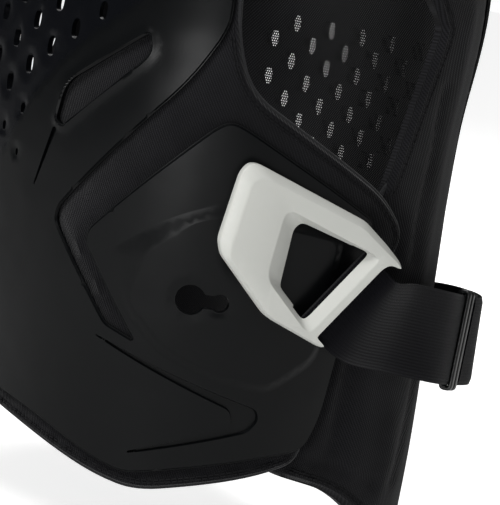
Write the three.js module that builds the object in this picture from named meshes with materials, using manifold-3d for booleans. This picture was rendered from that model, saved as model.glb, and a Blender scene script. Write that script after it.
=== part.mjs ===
// Roost deflector: a motocross chest and back protector, standing open as if it were worn.
// Millimetres, +Z up, +X to the wearer's left, -Y to the front. Z is 0 on top of the shoulders.
import * as THREE from 'three';
import { mergeVertices } from 'three/addons/utils/BufferGeometryUtils.js';
import Module from 'manifold-3d';

const wasm = await Module();
wasm.setup();

// Body form that every layer follows
const BODY_HEIGHT = 430;
const BODY_HALF_WIDTH = 158;
const CHEST_DEPTH = 124;
const BACK_DEPTH = 111;
const SECTION_POWER = 2.3;
const WING_FLARE = 18.5;

// Layers, counted outwards from the body form
const LAYER_GAP = 0.5;
const WING_THICKNESS = 6;
const LINER_THICKNESS = 3.6;
const SHELL_THICKNESS = 3;
const MESH_THICKNESS = 1.6;
const MESH_CLEARANCE = 0.4;
const PLATEAU_RISE = 1.8;
const PLATEAU_SUNK = 1.2;
const PLATEAU_OVER = 1.6;
const GROOVE_DEPTH = 1.9;

// Facets of the curved sheets, and the play between pieces
const TURN_STEP = 10;
const FALL_STEP = 54;
const GAP = 0.35;
const CUT_REACH = 30;
const FLAT_DOME = 6;
const FRONT_SPAN = [-110, 110];
const BACK_SPAN = [60, 300];

// Perforations
const HOLE_WIDTH = 5.6;
const HOLE_HEIGHT = 10.4;
const HOLE_COLUMN_STEP = 14.3;
const HOLE_ROW_STEP = 23.4;
const HOLE_LOW_ROW = 211;
const HOLE_CORNERS = 6;

// Keyholes in the flank plates
const KEYHOLE_BIG_RADIUS = 8;
const KEYHOLE_SMALL_RADIUS = 4.9;
const KEYHOLE_SPACING = 15;
const KEYHOLE_NECK = 7.4;

// Hook buckle
const HOOK_LENGTH = 102;
const HOOK_HEIGHT = 92;
const HOOK_THICKNESS = 8;
const HOOK_BEVEL = 3;
const HOOK_TURN = 72.5;
const HOOK_DROP = 258;
const HOOK_FACING = 70.9;
const HOOK_STANDOFF = 3;
const HOOK_POCKET_DEPTH = 4;
const STUD_NECK_RADIUS = 3.2;
const STUD_HEAD_RADIUS = 6.4;
const STUD_HEAD_HEIGHT = 2;
const STUD_NECK_LENGTH = 11.6;

// Straps, slider, snaps and pads
const SIDE_STRAP_WIDTH = 50;
const STRAP_THICKNESS = 2.2;
const STRAP_SEAT = 1.1;
const SLIDER_WIDTH = 9;
const SLIDER_WALL = 2.4;
const SLIDER_SLIT = 1.4;
const SHOULDER_STRAP_WIDTH = 40;
const SHOULDER_OUT = 92;
const SHOULDER_HALF_DEPTH = 75;
const SHOULDER_RISE = 60;
const SHOULDER_TURN = 47;
const FRONT_TABS = [96, 84, 68, 51];
const BACK_TABS = [38, 62, 84, 96];
const ARCH_SPREAD = 66;
const ARCH_STEPS = 8;
const PAD_WIDTH = 62;
const PAD_THICKNESS = 9;
const RISE_SPAN = 5;
const SNAP_CAP_RADIUS = 8;
const SNAP_CAP_HEIGHT = 3.2;
const SNAP_POST_RADIUS = 3;
const SNAP_POST_SHORT = 0.4;

// Horizontal sections of the body form, from the shoulders down. Drop is a share of the height,
// and the others are shares of the half width, the two depths and the flare of the side wings.
const SECTIONS = [
  { drop: 0.0, width: 0.8, front: 0.41, back: 0.52, flare: 0.8 },
  { drop: 0.14, width: 0.905, front: 0.72, back: 0.83, flare: 0.8 },
  { drop: 0.302, width: 0.98, front: 0.935, back: 0.982, flare: 0.42 },
  { drop: 0.465, width: 1.0, front: 1.0, back: 1.0, flare: 0.0 },
  { drop: 0.651, width: 0.962, front: 0.984, back: 0.91, flare: 0.4 },
  { drop: 0.86, width: 0.892, front: 0.919, back: 0.811, flare: 1.0 },
  { drop: 1.0, width: 0.867, front: 0.887, back: 0.811, flare: 1.0 },
];

// Half outlines. Turn is degrees round from the middle of the front to the wearer's left,
// drop is a share of the body height and round is the radius of the corner in millimetres.
const FRONT_SHELL = [
  { turn: 0, drop: 0.285, round: 0 },
  { turn: 17, drop: 0.262, round: 14 },
  { turn: 28, drop: 0.205, round: 20 },
  { turn: 36, drop: 0.124, round: 7 },
  { turn: 58, drop: 0.124, round: 9 },
  { turn: 56, drop: 0.2, round: 20 },
  { turn: 56.6, drop: 0.317, round: 20 },
  { turn: 56.3, drop: 0.352, round: 12 },
  { turn: 50.6, drop: 0.418, round: 16 },
  { turn: 26.2, drop: 0.596, round: 4 },
  { turn: 25.8, drop: 0.614, round: 4 },
  { turn: 39.9, drop: 0.723, round: 3 },
  { turn: 45.9, drop: 0.736, round: 1 },
  { turn: 33.4, drop: 0.63, round: 4 },
  { turn: 34.0, drop: 0.613, round: 4 },
  { turn: 56.0, drop: 0.467, round: 5 },
  { turn: 58.7, drop: 0.456, round: 5 },
  { turn: 62.0, drop: 0.464, round: 8 },
  { turn: 88.4, drop: 0.561, round: 6 },
  { turn: 86.6, drop: 0.718, round: 20 },
  { turn: 85.9, drop: 0.815, round: 12 },
  { turn: 83.4, drop: 0.857, round: 8 },
  { turn: 72.2, drop: 0.869, round: 30 },
  { turn: 47.2, drop: 0.906, round: 8 },
  { turn: 40.5, drop: 0.896, round: 10 },
  { turn: 22.5, drop: 0.858, round: 20 },
  { turn: 0, drop: 0.835, round: 0 },
];
const FRONT_LINER = [
  { turn: 0, drop: 0.264, round: 0 },
  { turn: 15, drop: 0.243, round: 14 },
  { turn: 25, drop: 0.19, round: 20 },
  { turn: 33, drop: 0.118, round: 8 },
  { turn: 61, drop: 0.118, round: 9 },
  { turn: 58.6, drop: 0.2, round: 20 },
  { turn: 57.9, drop: 0.345, round: 24 },
  { turn: 61.6, drop: 0.42, round: 14 },
  { turn: 90.4, drop: 0.53, round: 14 },
  { turn: 96.6, drop: 0.575, round: 10 },
  { turn: 95.0, drop: 0.61, round: 10 },
  { turn: 87.0, drop: 0.64, round: 14 },
  { turn: 85.4, drop: 0.8, round: 20 },
  { turn: 83.0, drop: 0.874, round: 8 },
  { turn: 74.0, drop: 0.893, round: 20 },
  { turn: 50.0, drop: 0.927, round: 14 },
  { turn: 40.9, drop: 0.918, round: 14 },
  { turn: 20.0, drop: 0.883, round: 20 },
  { turn: 0, drop: 0.858, round: 0 },
];
const BACK_LINER = [
  { turn: 180, drop: 0.17, round: 0 },
  { turn: 160, drop: 0.15, round: 14 },
  { turn: 148, drop: 0.095, round: 10 },
  { turn: 118, drop: 0.095, round: 12 },
  { turn: 108, drop: 0.19, round: 20 },
  { turn: 93.4, drop: 0.27, round: 8 },
  { turn: 99.6, drop: 0.325, round: 7 },
  { turn: 91.0, drop: 0.53, round: 14 },
  { turn: 88.0, drop: 0.575, round: 14 },
  { turn: 76.0, drop: 0.62, round: 20 },
  { turn: 72.0, drop: 0.86, round: 10 },
  { turn: 77.4, drop: 0.889, round: 8 },
  { turn: 93.0, drop: 0.916, round: 10 },
  { turn: 101.0, drop: 0.955, round: 14 },
  { turn: 118.0, drop: 1.0, round: 30 },
  { turn: 180, drop: 1.0, round: 0 },
];
const BACK_SHELL = [
  { turn: 180, drop: 0.19, round: 0 },
  { turn: 158, drop: 0.17, round: 14 },
  { turn: 146, drop: 0.1, round: 8 },
  { turn: 121, drop: 0.1, round: 10 },
  { turn: 116, drop: 0.24, round: 24 },
  { turn: 122, drop: 0.42, round: 40 },
  { turn: 124, drop: 0.6, round: 30 },
  { turn: 132, drop: 0.86, round: 30 },
  { turn: 150, drop: 0.965, round: 24 },
  { turn: 180, drop: 0.985, round: 0 },
];
const BACK_WINDOW = [
  { turn: 180, drop: 0.24, round: 0 },
  { turn: 150, drop: 0.24, round: 16 },
  { turn: 124, drop: 0.3, round: 30 },
  { turn: 130, drop: 0.58, round: 40 },
  { turn: 146, drop: 0.78, round: 20 },
  { turn: 180, drop: 0.8, round: 0 },
];

// The front liner is open behind the perforations, so that they can be seen through
const FRONT_WINDOW = [
  { turn: 0, drop: 0.312, round: 0 },
  { turn: 19, drop: 0.292, round: 14 },
  { turn: 31, drop: 0.262, round: 8 },
  { turn: 34.5, drop: 0.3, round: 8 },
  { turn: 33, drop: 0.372, round: 8 },
  { turn: 21, drop: 0.44, round: 14 },
  { turn: 8, drop: 0.545, round: 10 },
  { turn: 0, drop: 0.56, round: 0 },
];

// Boomerang vent and the groove that runs down from it
const VENT = [
  { turn: 41.8, drop: 0.37, round: 2 },
  { turn: 42.6, drop: 0.39, round: 6 },
  { turn: 41.0, drop: 0.405, round: 6 },
  { turn: 24.9, drop: 0.498, round: 2 },
  { turn: 23.0, drop: 0.492, round: 2 },
  { turn: 24.3, drop: 0.448, round: 8 },
];
const VENT_TAIL = [
  { turn: 23.9, drop: 0.503, round: 0 },
  { turn: 22.4, drop: 0.5, round: 0 },
  { turn: 17.9, drop: 0.594, round: 0 },
];
// Sideways chevron groove under the keyhole
const CHEVRON = [
  { turn: 36.3, drop: 0.737, round: 0 },
  { turn: 71.6, drop: 0.803, round: 3 },
  { turn: 72.6, drop: 0.818, round: 4 },
  { turn: 70.6, drop: 0.834, round: 3 },
  { turn: 47.6, drop: 0.879, round: 0 },
  { turn: 67.2, drop: 0.826, round: 5 },
  { turn: 66.4, drop: 0.808, round: 3 },
];
// Raised plateau of the flank plate: its foot and the top that it slopes up to
const PLATEAU = [
  { turn: 39.4, drop: 0.63, topTurn: 46.8, topDrop: 0.627 },
  { turn: 49.7, drop: 0.581, topTurn: 55.4, topDrop: 0.568 },
  { turn: 60.0, drop: 0.548, topTurn: 61.4, topDrop: 0.56 },
  { turn: 82.5, drop: 0.575, topTurn: 80.5, topDrop: 0.588 },
  { turn: 82.0, drop: 0.74, topTurn: 80.0, topDrop: 0.73 },
  { turn: 73.0, drop: 0.784, topTurn: 72.0, topDrop: 0.77 },
  { turn: 62.2, drop: 0.775, topTurn: 62.6, topDrop: 0.76 },
  { turn: 50.8, drop: 0.748, topTurn: 52.4, topDrop: 0.735 },
  { turn: 41.6, drop: 0.691, topTurn: 44.4, topDrop: 0.688 },
];
// The keyhole that shows: the centre of its small end, with its big end towards the front
const KEYHOLE = { turn: 61.1, drop: 0.674, upright: false };

// Hook outline on its own plate, along and rise as shares of its length and height.
// The second pair is the inner edge of the bevelled rim.
const HOOK_OUTLINE = [
  { along: -0.265, rise: 0.474, inAlong: -0.21, inRise: 0.396 },
  { along: -0.315, rise: 0.474, inAlong: -0.262, inRise: 0.4 },
  { along: -0.353, rise: 0.419, inAlong: -0.3, inRise: 0.37 },
  { along: -0.42, rise: 0.042, inAlong: -0.361, inRise: 0.016 },
  { along: -0.397, rise: -0.042, inAlong: -0.362, inRise: -0.05 },
  { along: -0.138, rise: -0.352, inAlong: -0.128, inRise: -0.342 },
  { along: -0.097, rise: -0.382, inAlong: -0.09, inRise: -0.37 },
  { along: 0.175, rise: -0.518, inAlong: 0.176, inRise: -0.508 },
  { along: 0.21, rise: -0.521, inAlong: 0.206, inRise: -0.512 },
  { along: 0.157, rise: -0.47, inAlong: 0.155, inRise: -0.464 },
  { along: 0.163, rise: -0.453, inAlong: 0.159, inRise: -0.45 },
  { along: 0.459, rise: -0.05, inAlong: 0.456, inRise: -0.046 },
  { along: 0.5, rise: -0.026, inAlong: 0.497, inRise: -0.022 },
  { along: 0.57, rise: -0.05, inAlong: 0.56, inRise: -0.044 },
  { along: 0.556, rise: -0.008, inAlong: 0.545, inRise: -0.02 },
  { along: 0.472, rise: 0.083, inAlong: 0.44, inRise: 0.066 },
  { along: 0.336, rise: 0.208, inAlong: 0.32, inRise: 0.17 },
];
// Window of the hook: the rim of its recess on the face, and the hole that it slopes down to
const HOOK_WINDOW = [
  { along: -0.075, rise: 0.238, holeAlong: 0.01, holeRise: 0.168 },
  { along: -0.109, rise: 0.211, holeAlong: -0.029, holeRise: 0.13 },
  { along: -0.153, rise: -0.104, holeAlong: -0.059, holeRise: -0.185 },
  { along: -0.14, rise: -0.167, holeAlong: -0.052, holeRise: -0.209 },
  { along: 0.085, rise: -0.426, holeAlong: 0.056, holeRise: -0.33 },
  { along: 0.117, rise: -0.427, holeAlong: 0.073, holeRise: -0.336 },
  { along: 0.143, rise: -0.398, holeAlong: 0.094, holeRise: -0.32 },
  { along: 0.429, rise: -0.003, holeAlong: 0.347, holeRise: 0.023 },
  { along: 0.409, rise: 0.024, holeAlong: 0.349, holeRise: 0.039 },
];
const HOOK_BAR = { fromAlong: 0.163, fromRise: -0.453, toAlong: 0.459, toRise: -0.05 };
const HOOK_STUD = { along: -0.255, rise: 0.087 };

// Side strap behind the hook: standoff from the body form in millimetres
const STRAP_STATIONS = [
  { turn: 97, drop: 0.692, stand: 17.5 },
  { turn: 108, drop: 0.708, stand: 20.5 },
  { turn: 116, drop: 0.719, stand: 24 },
  { turn: 123, drop: 0.726, stand: 31 },
  { turn: 130, drop: 0.73, stand: 31 },
  { turn: 137, drop: 0.734, stand: 22 },
];
const ANCHOR_TURN = 152;
const ANCHOR_DROP = 0.745;
const ANCHOR_OVERLAP = 8;
const SLIDER_TURN = 115;

const shellInner = WING_THICKNESS + LAYER_GAP + LINER_THICKNESS + LAYER_GAP;
const shellOuter = shellInner + SHELL_THICKNESS;
const linerInner = WING_THICKNESS + LAYER_GAP;
const linerOuter = linerInner + LINER_THICKNESS;
const backShellInner = WING_THICKNESS + LAYER_GAP;
const backShellOuter = backShellInner + SHELL_THICKNESS;

// Reads one column of the sections at a drop, smoothly from row to row.
function sectionValue(column, drop) {
  const last = SECTIONS.length - 1;
  const at = Math.min(Math.max(drop, 0), 1);
  const slope = (i) => {
    const a = SECTIONS[Math.max(i - 1, 0)];
    const b = SECTIONS[Math.min(i + 1, last)];
    return (b[column] - a[column]) / (b.drop - a.drop);
  };
  const i = Math.min(SECTIONS.findLastIndex((row) => row.drop <= at), last - 1);
  const low = SECTIONS[i];
  const high = SECTIONS[i + 1];
  const h = high.drop - low.drop;
  const t = (at - low.drop) / h;
  const s = t * t * (3 - 2 * t);
  const bend = t * (1 - t) * (1 - t) * slope(i) - t * t * (1 - t) * slope(i + 1);
  return low[column] * (1 - s) + high[column] * s + h * bend;
}

// How far the side wings stand out from the body form at a place.
function flareAt(turn, drop) {
  const side = 180 - Math.abs(180 - Math.abs(turn));
  const grow = THREE.MathUtils.smoothstep(side, 86, 108);
  const fade = 1 - THREE.MathUtils.smoothstep(side, 135, 172);
  return WING_FLARE * sectionValue('flare', drop) * grow * fade;
}

// A place on the layer at a standoff: turn in degrees, fall in millimetres below the shoulders.
function layerPoint(turn, fall, standoff) {
  const drop = fall / BODY_HEIGHT;
  const out = standoff + flareAt(turn, drop);
  const s = Math.sin(THREE.MathUtils.degToRad(turn));
  const c = Math.cos(THREE.MathUtils.degToRad(turn));
  const half = BODY_HALF_WIDTH * sectionValue('width', drop) + out;
  const front = CHEST_DEPTH * sectionValue('front', drop);
  const back = BACK_DEPTH * sectionValue('back', drop);
  const depth = (c > 0 ? front : back) + out;
  const sum = Math.abs(s / half) ** SECTION_POWER + Math.abs(c / depth) ** SECTION_POWER;
  const radius = sum ** (-1 / SECTION_POWER);
  return new THREE.Vector3(radius * s, -radius * c, -fall);
}

function turnOf(point) {
  return THREE.MathUtils.radToDeg(Math.atan2(point.x, -point.y));
}

// The way up along a layer, and the way straight out of it.
function riseAt(turn, fall, standoff) {
  const above = layerPoint(turn, fall - RISE_SPAN, standoff);
  return above.sub(layerPoint(turn, fall + RISE_SPAN, standoff)).normalize();
}

function outwardAt(turn, fall, standoff) {
  const round = layerPoint(turn + 1, fall, standoff).sub(layerPoint(turn - 1, fall, standoff));
  return round.cross(riseAt(turn, fall, standoff)).normalize();
}

// Degrees of turn that make one millimetre round the body at a turn.
function degreesPerMillimetre(turn, fall) {
  const before = layerPoint(turn - 0.5, fall, shellOuter);
  return 1 / layerPoint(turn + 0.5, fall, shellOuter).distanceTo(before);
}

function fromTriangles(positions) {
  const geometry = new THREE.BufferGeometry();
  geometry.setAttribute('position', new THREE.Float32BufferAttribute(positions, 3));
  return geometry;
}

function toSolid(geometry) {
  const bare = geometry.clone();
  bare.deleteAttribute('normal');
  bare.deleteAttribute('uv');
  const merged = mergeVertices(bare, 1e-4);
  const vertProperties = new Float32Array(merged.attributes.position.array);
  const triVerts = new Uint32Array(merged.index.array);
  return new wasm.Manifold(new wasm.Mesh({ numProp: 3, vertProperties, triVerts }));
}

function toGeometry(solid) {
  const { vertProperties, triVerts } = solid.getMesh();
  const geometry = new THREE.BufferGeometry();
  geometry.setAttribute('position', new THREE.BufferAttribute(new Float32Array(vertProperties), 3));
  geometry.setIndex(new THREE.BufferAttribute(new Uint32Array(triVerts), 1));
  return geometry;
}

// Rounds the corners of a flat outline. Points are [u, v, radius], and u counts uScale mm a unit.
function roundCorners(points, uScale, closed) {
  const path = [];
  points.forEach(([u, v, radius], i) => {
    const before = points[(i + points.length - 1) % points.length];
    const after = points[(i + 1) % points.length];
    const end = !closed && (i === 0 || i === points.length - 1);
    if (radius === 0 || end) {
      path.push(new THREE.Vector2(u, v));
      return;
    }
    const corner = new THREE.Vector2(u * uScale, v);
    const cut = [before, after].map(([a, b]) => {
      const away = new THREE.Vector2(a * uScale, b).sub(corner);
      return corner.clone().add(away.setLength(Math.min(radius, away.length() * 0.45)));
    });
    const steps = radius > 7 ? 2 : 1;
    for (let k = 0; k <= steps; k += 1) {
      const t = k / steps;
      const point = cut[0].clone().multiplyScalar((1 - t) ** 2);
      point.addScaledVector(corner, 2 * t * (1 - t)).addScaledVector(cut[1], t * t);
      path.push(new THREE.Vector2(point.x / uScale, point.y));
    }
  });
  return path;
}

// Millimetres for each degree of turn, for rounding the corners of outlines.
const OUTLINE_SCALE = 2.7;

function flatOutline(rows, closed) {
  const points = rows.map(({ turn, drop, round }) => [turn, -drop * BODY_HEIGHT, round]);
  return roundCorners(points, OUTLINE_SCALE, closed);
}

// Whole outline of a piece that is the same on both sides of a middle turn.
function mirroredOutline(rows, middle) {
  const half = flatOutline(rows, false);
  const other = half.slice(1, -1).map((p) => new THREE.Vector2(2 * middle - p.x, p.y)).reverse();
  return [...half, ...other];
}

function flipOutline(outline) {
  return outline.map((p) => new THREE.Vector2(-p.x, p.y)).reverse();
}

// Closed block through flat rings with the same number of corners, each at its height.
function ringStack(levels) {
  const turned = THREE.ShapeUtils.area(levels[0].ring) < 0;
  const rings = levels.map(({ ring, height }) => (
    (turned ? [...ring].reverse() : ring).map((p) => new THREE.Vector3(p.x, p.y, height))
  ));
  const triangles = [];
  const bottom = rings[0];
  const top = rings.at(-1);
  THREE.ShapeUtils.triangulateShape(bottom, []).forEach(([a, b, c]) => {
    triangles.push([bottom[a], bottom[c], bottom[b]]);
  });
  THREE.ShapeUtils.triangulateShape(top, []).forEach(([a, b, c]) => {
    triangles.push([top[a], top[b], top[c]]);
  });
  rings.slice(1).forEach((upper, k) => {
    const lower = rings[k];
    lower.forEach((p, i) => {
      const j = (i + 1) % lower.length;
      triangles.push([p, lower[j], upper[j]], [p, upper[j], upper[i]]);
    });
  });
  return triangles;
}

function ringBlock(lower, upper, low, high) {
  return ringStack([{ ring: lower, height: low }, { ring: upper, height: high }]);
}

function solidOf(triangles, toWorld) {
  const positions = [];
  triangles.forEach((corners) => corners.forEach((p) => positions.push(...toWorld(p).toArray())));
  return toSolid(fromTriangles(positions));
}

// Dome of the flat layout, which keeps its facets apart until they are bent.
function domeAt(turn, height) {
  const side = Math.abs(THREE.MathUtils.euclideanModulo(turn + 90, 180) - 90) / 100;
  const down = -height / BODY_HEIGHT;
  return FLAT_DOME * (side * side + down * down + side * down);
}

// Facets lean one way on the wearer's left and the other way on the right.
function leansLeft(column) {
  return Math.sin(THREE.MathUtils.degToRad((column + 0.5) * TURN_STEP)) > 0;
}

// A place of the flat layout on the facets of the bent sheet, which are flat between their corners.
function facetPoint(p) {
  const column = Math.floor(p.x / TURN_STEP);
  const row = Math.floor(-p.y / FALL_STEP);
  const left = leansLeft(column);
  const along = p.x / TURN_STEP - column;
  const a = left ? along : 1 - along;
  const b = -p.y / FALL_STEP - row;
  const corner = (m, n) => [(column + (left ? m : 1 - m)) * TURN_STEP, (row + n) * FALL_STEP];
  const corners = [
    { at: corner(0, 0), share: 1 - Math.max(a, b) },
    { at: a > b ? corner(1, 0) : corner(0, 1), share: Math.abs(a - b) },
    { at: corner(1, 1), share: Math.min(a, b) },
  ];
  const dome = corners.reduce((sum, { at: [turn, fall], share }) => sum + share * domeAt(turn, -fall), 0);
  return corners.reduce(
    (sum, { at: [turn, fall], share }) => sum.addScaledVector(layerPoint(turn, fall, p.z - dome), share),
    new THREE.Vector3(),
  );
}

// A straight-sided block in the flat layout of turn, height and standoff.
function flatBlock(outline, low, high) {
  return solidOf(ringBlock(outline, outline, low, high), (p) => p);
}

// A sheet in the flat layout, with even facets that line up from layer to layer.
function flatSheet(turnFrom, turnTo, inner, outer) {
  const columns = Math.round((turnTo - turnFrom) / TURN_STEP);
  const rows = Math.ceil((BODY_HEIGHT + 1) / FALL_STEP);
  const corner = (i, j, standoff) => {
    const turn = turnFrom + i * TURN_STEP;
    const height = -j * FALL_STEP;
    return new THREE.Vector3(turn, height, standoff + domeAt(turn, height));
  };
  const positions = [];
  const quad = (...corners) => {
    const column = Math.min(...corners.map(([i]) => i)) + turnFrom / TURN_STEP;
    const order = leansLeft(column) ? [0, 1, 2, 0, 2, 3] : [1, 2, 3, 1, 3, 0];
    order.forEach((k) => positions.push(...corner(...corners[k]).toArray()));
  };
  for (let i = 0; i < columns; i += 1) {
    for (let j = 0; j < rows; j += 1) {
      quad([i, j, outer], [i, j + 1, outer], [i + 1, j + 1, outer], [i + 1, j, outer]);
      quad([i, j, inner], [i + 1, j, inner], [i + 1, j + 1, inner], [i, j + 1, inner]);
    }
    quad([i, 0, inner], [i, 0, outer], [i + 1, 0, outer], [i + 1, 0, inner]);
    quad([i, rows, outer], [i, rows, inner], [i + 1, rows, inner], [i + 1, rows, outer]);
  }
  for (let j = 0; j < rows; j += 1) {
    quad([0, j, outer], [0, j, inner], [0, j + 1, inner], [0, j + 1, outer]);
    quad([columns, j, inner], [columns, j, outer], [columns, j + 1, outer], [columns, j + 1, inner]);
  }
  return toSolid(fromTriangles(positions));
}

function flatCutter(outline, standoff) {
  return flatBlock(outline, standoff - CUT_REACH, standoff + CUT_REACH);
}

function flatPanel(outline, span, inner, outer) {
  return flatSheet(...span, inner, outer).intersect(flatBlock(outline, inner - CUT_REACH, outer + CUT_REACH));
}

// Bends a flat solid round the body.
function bendToBody(flat) {
  const { vertProperties, triVerts } = flat.getMesh();
  const triangles = [];
  for (let i = 0; i < triVerts.length; i += 3) {
    const corners = [0, 1, 2].map((k) => new THREE.Vector3().fromArray(vertProperties, 3 * triVerts[i + k]));
    triangles.push(corners);
  }
  return solidOf(triangles, facetPoint);
}

// Rounded upright hole at a place, for a perforation.
function holeOutline(turn, fall, share) {
  const across = (HOLE_WIDTH / 2) * share * degreesPerMillimetre(turn, fall);
  const outline = [];
  for (let k = 0; k < HOLE_CORNERS; k += 1) {
    const angle = (2 * Math.PI * (k + 0.5)) / HOLE_CORNERS;
    const x = turn + across * Math.cos(angle) * 1.15;
    outline.push(new THREE.Vector2(x, -fall + (HOLE_HEIGHT / 2) * share * Math.sin(angle)));
  }
  return outline;
}

// Cuts the staggered perforations. Each column gives its lowest fall, count and size of hole.
function perforate(flat, middle, columns, standoff) {
  let result = flat;
  columns.forEach(({ column, lowest, count, share }) => {
    [-1, 1].filter((side) => side > 0 || column > 0).forEach((side) => {
      for (let row = 0; row < count; row += 1) {
        const fall = lowest - row * HOLE_ROW_STEP;
        const turn = middle + side * column * HOLE_COLUMN_STEP * degreesPerMillimetre(middle, fall);
        result = result.subtract(flatCutter(holeOutline(turn, fall, share), standoff));
      }
    });
  });
  return result;
}

const HALF_ROW = HOLE_ROW_STEP / 2;
const frontColumns = [
  { column: 0, lowest: HOLE_LOW_ROW, count: 4, share: 1 },
  { column: 1, lowest: HOLE_LOW_ROW - HALF_ROW, count: 4, share: 1 },
  { column: 2, lowest: HOLE_LOW_ROW - 2 * HALF_ROW, count: 3, share: 1 },
  { column: 3, lowest: HOLE_LOW_ROW - 3 * HALF_ROW, count: 3, share: 1 },
  { column: 4, lowest: HOLE_LOW_ROW - 4 * HALF_ROW, count: 2, share: 1 },
  { column: 5, lowest: HOLE_LOW_ROW - 5 * HALF_ROW, count: 2, share: 0.9 },
];
const backColumns = [
  { column: 0, lowest: HOLE_LOW_ROW + 4 * HALF_ROW, count: 5, share: 1 },
  { column: 1, lowest: HOLE_LOW_ROW + 3 * HALF_ROW, count: 4, share: 1 },
  { column: 2, lowest: HOLE_LOW_ROW + 2 * HALF_ROW, count: 4, share: 1 },
  { column: 3, lowest: HOLE_LOW_ROW + HALF_ROW, count: 3, share: 1 },
  { column: 4, lowest: HOLE_LOW_ROW, count: 3, share: 1 },
  { column: 5, lowest: HOLE_LOW_ROW - HALF_ROW, count: 2, share: 1 },
];

// Circle and slot shapes of a keyhole, laid flat round its small end.
function circleOutline(turn, fall, radius, corners) {
  const across = degreesPerMillimetre(turn, fall);
  const outline = [];
  for (let k = 0; k < corners; k += 1) {
    const angle = (2 * Math.PI * k) / corners;
    const x = turn + radius * across * Math.cos(angle);
    outline.push(new THREE.Vector2(x, -fall + radius * Math.sin(angle)));
  }
  return outline;
}

function boxOutline(turn, fall, length, height) {
  const across = (length / 2) * degreesPerMillimetre(turn, fall);
  return [[-1, -1], [1, -1], [1, 1], [-1, 1]]
    .map(([a, b]) => new THREE.Vector2(turn + a * across, -fall + (b * height) / 2));
}

// Outlines of a keyhole from its two radii and the width of its neck. An upright one has its big
// end straight below.
function keyholeShapes({ turn, drop, upright }, small, big, neck) {
  const fall = drop * BODY_HEIGHT;
  const bigTurn = upright ? turn : turn - KEYHOLE_SPACING * degreesPerMillimetre(turn, fall);
  const bigFall = upright ? fall + KEYHOLE_SPACING : fall;
  const sides = upright ? [neck, KEYHOLE_SPACING] : [KEYHOLE_SPACING, neck];
  return [
    circleOutline(turn, fall, small, 10),
    circleOutline(bigTurn, bigFall, big, 14),
    boxOutline((turn + bigTurn) / 2, (fall + bigFall) / 2, ...sides),
  ];
}

function keyholeCut(keyhole, side) {
  const shapes = keyholeShapes(keyhole, KEYHOLE_SMALL_RADIUS, KEYHOLE_BIG_RADIUS, KEYHOLE_NECK);
  const cuts = shapes.map((s) => flatCutter(side > 0 ? s : flipOutline(s), shellOuter));
  return cuts[0].add(cuts[1]).add(cuts[2]);
}

// The liner is open behind a keyhole, wide enough for the head of the stud all along.
function keyholePocket(keyhole, side) {
  const radius = KEYHOLE_BIG_RADIUS + 1;
  const shapes = keyholeShapes(keyhole, radius, radius, 2 * radius * 0.97);
  const cuts = shapes.map((s) => flatCutter(side > 0 ? s : flipOutline(s), linerInner));
  return cuts[0].add(cuts[1]).add(cuts[2]);
}

function sideOutline(rows, sign) {
  const outline = flatOutline(rows, true);
  return sign > 0 ? outline : flipOutline(outline);
}

// Closed strip through stations, each with a point, an across vector, a normal and two depths.
function ribbon(stations, width) {
  const corners = stations.map(({ point, across, normal, inner, outer }) => [
    [-0.5, inner], [0.5, inner], [0.5, outer], [-0.5, outer],
  ].map(([a, depth]) => point.clone().addScaledVector(across, a * width).addScaledVector(normal, depth)));
  const positions = [];
  const quad = (a, b, c, d) => {
    [a, b, c, a, c, d].forEach((p) => positions.push(...p.toArray()));
  };
  for (let i = 0; i + 1 < corners.length; i += 1) {
    for (let k = 0; k < 4; k += 1) {
      const next = (k + 1) % 4;
      quad(corners[i][k], corners[i][next], corners[i + 1][next], corners[i + 1][k]);
    }
  }
  quad(...[...corners[0]].reverse());
  quad(...corners[corners.length - 1]);
  return toSolid(fromTriangles(positions));
}

// Turns a solid of revolution or a box to stand at a point, its own Z along the normal.
function place(geometry, origin, xAxis, zAxis) {
  const z = zAxis.clone().normalize();
  const y = z.clone().cross(xAxis).normalize();
  const x = y.clone().cross(z);
  const matrix = new THREE.Matrix4().makeBasis(x, y, z).setPosition(origin);
  return toSolid(geometry.clone().applyMatrix4(matrix));
}

function lathe(profile, segments) {
  const points = profile.map(([r, h]) => new THREE.Vector2(r, h));
  return new THREE.LatheGeometry(points, segments).rotateX(Math.PI / 2);
}

// The same solid on the wearer's other side.
function mirrored(solid) {
  const { vertProperties, triVerts } = solid.getMesh();
  const flipped = vertProperties.map((value, i) => (i % 3 === 0 ? -value : value));
  const turned = triVerts.map((_, i) => triVerts[i - (i % 3) + [0, 2, 1][i % 3]]);
  return new wasm.Manifold(new wasm.Mesh({ numProp: 3, vertProperties: flipped, triVerts: turned }));
}

// Frame of the hook plate on the wearer's left: x runs back along the plate, z away from the body.
function hookFrame() {
  const facing = THREE.MathUtils.degToRad(HOOK_FACING);
  const normal = new THREE.Vector3(Math.sin(facing), -Math.cos(facing), 0);
  const along = new THREE.Vector3(Math.cos(facing), Math.sin(facing), 0);
  const origin = layerPoint(HOOK_TURN, HOOK_DROP, shellOuter + HOOK_STANDOFF);
  return { origin, along, up: new THREE.Vector3(0, 0, 1), normal };
}

function onHook(frame, along, rise, depth) {
  return frame.origin.clone()
    .addScaledVector(frame.along, along)
    .addScaledVector(frame.up, rise)
    .addScaledVector(frame.normal, depth);
}

function onPlate(triangles) {
  const frame = hookFrame();
  return solidOf(triangles, (p) => onHook(frame, p.x, p.y, p.z));
}

function hookPoints(rows, alongKey, riseKey) {
  return rows.map((row) => new THREE.Vector2(row[alongKey] * HOOK_LENGTH, row[riseKey] * HOOK_HEIGHT));
}

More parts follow.
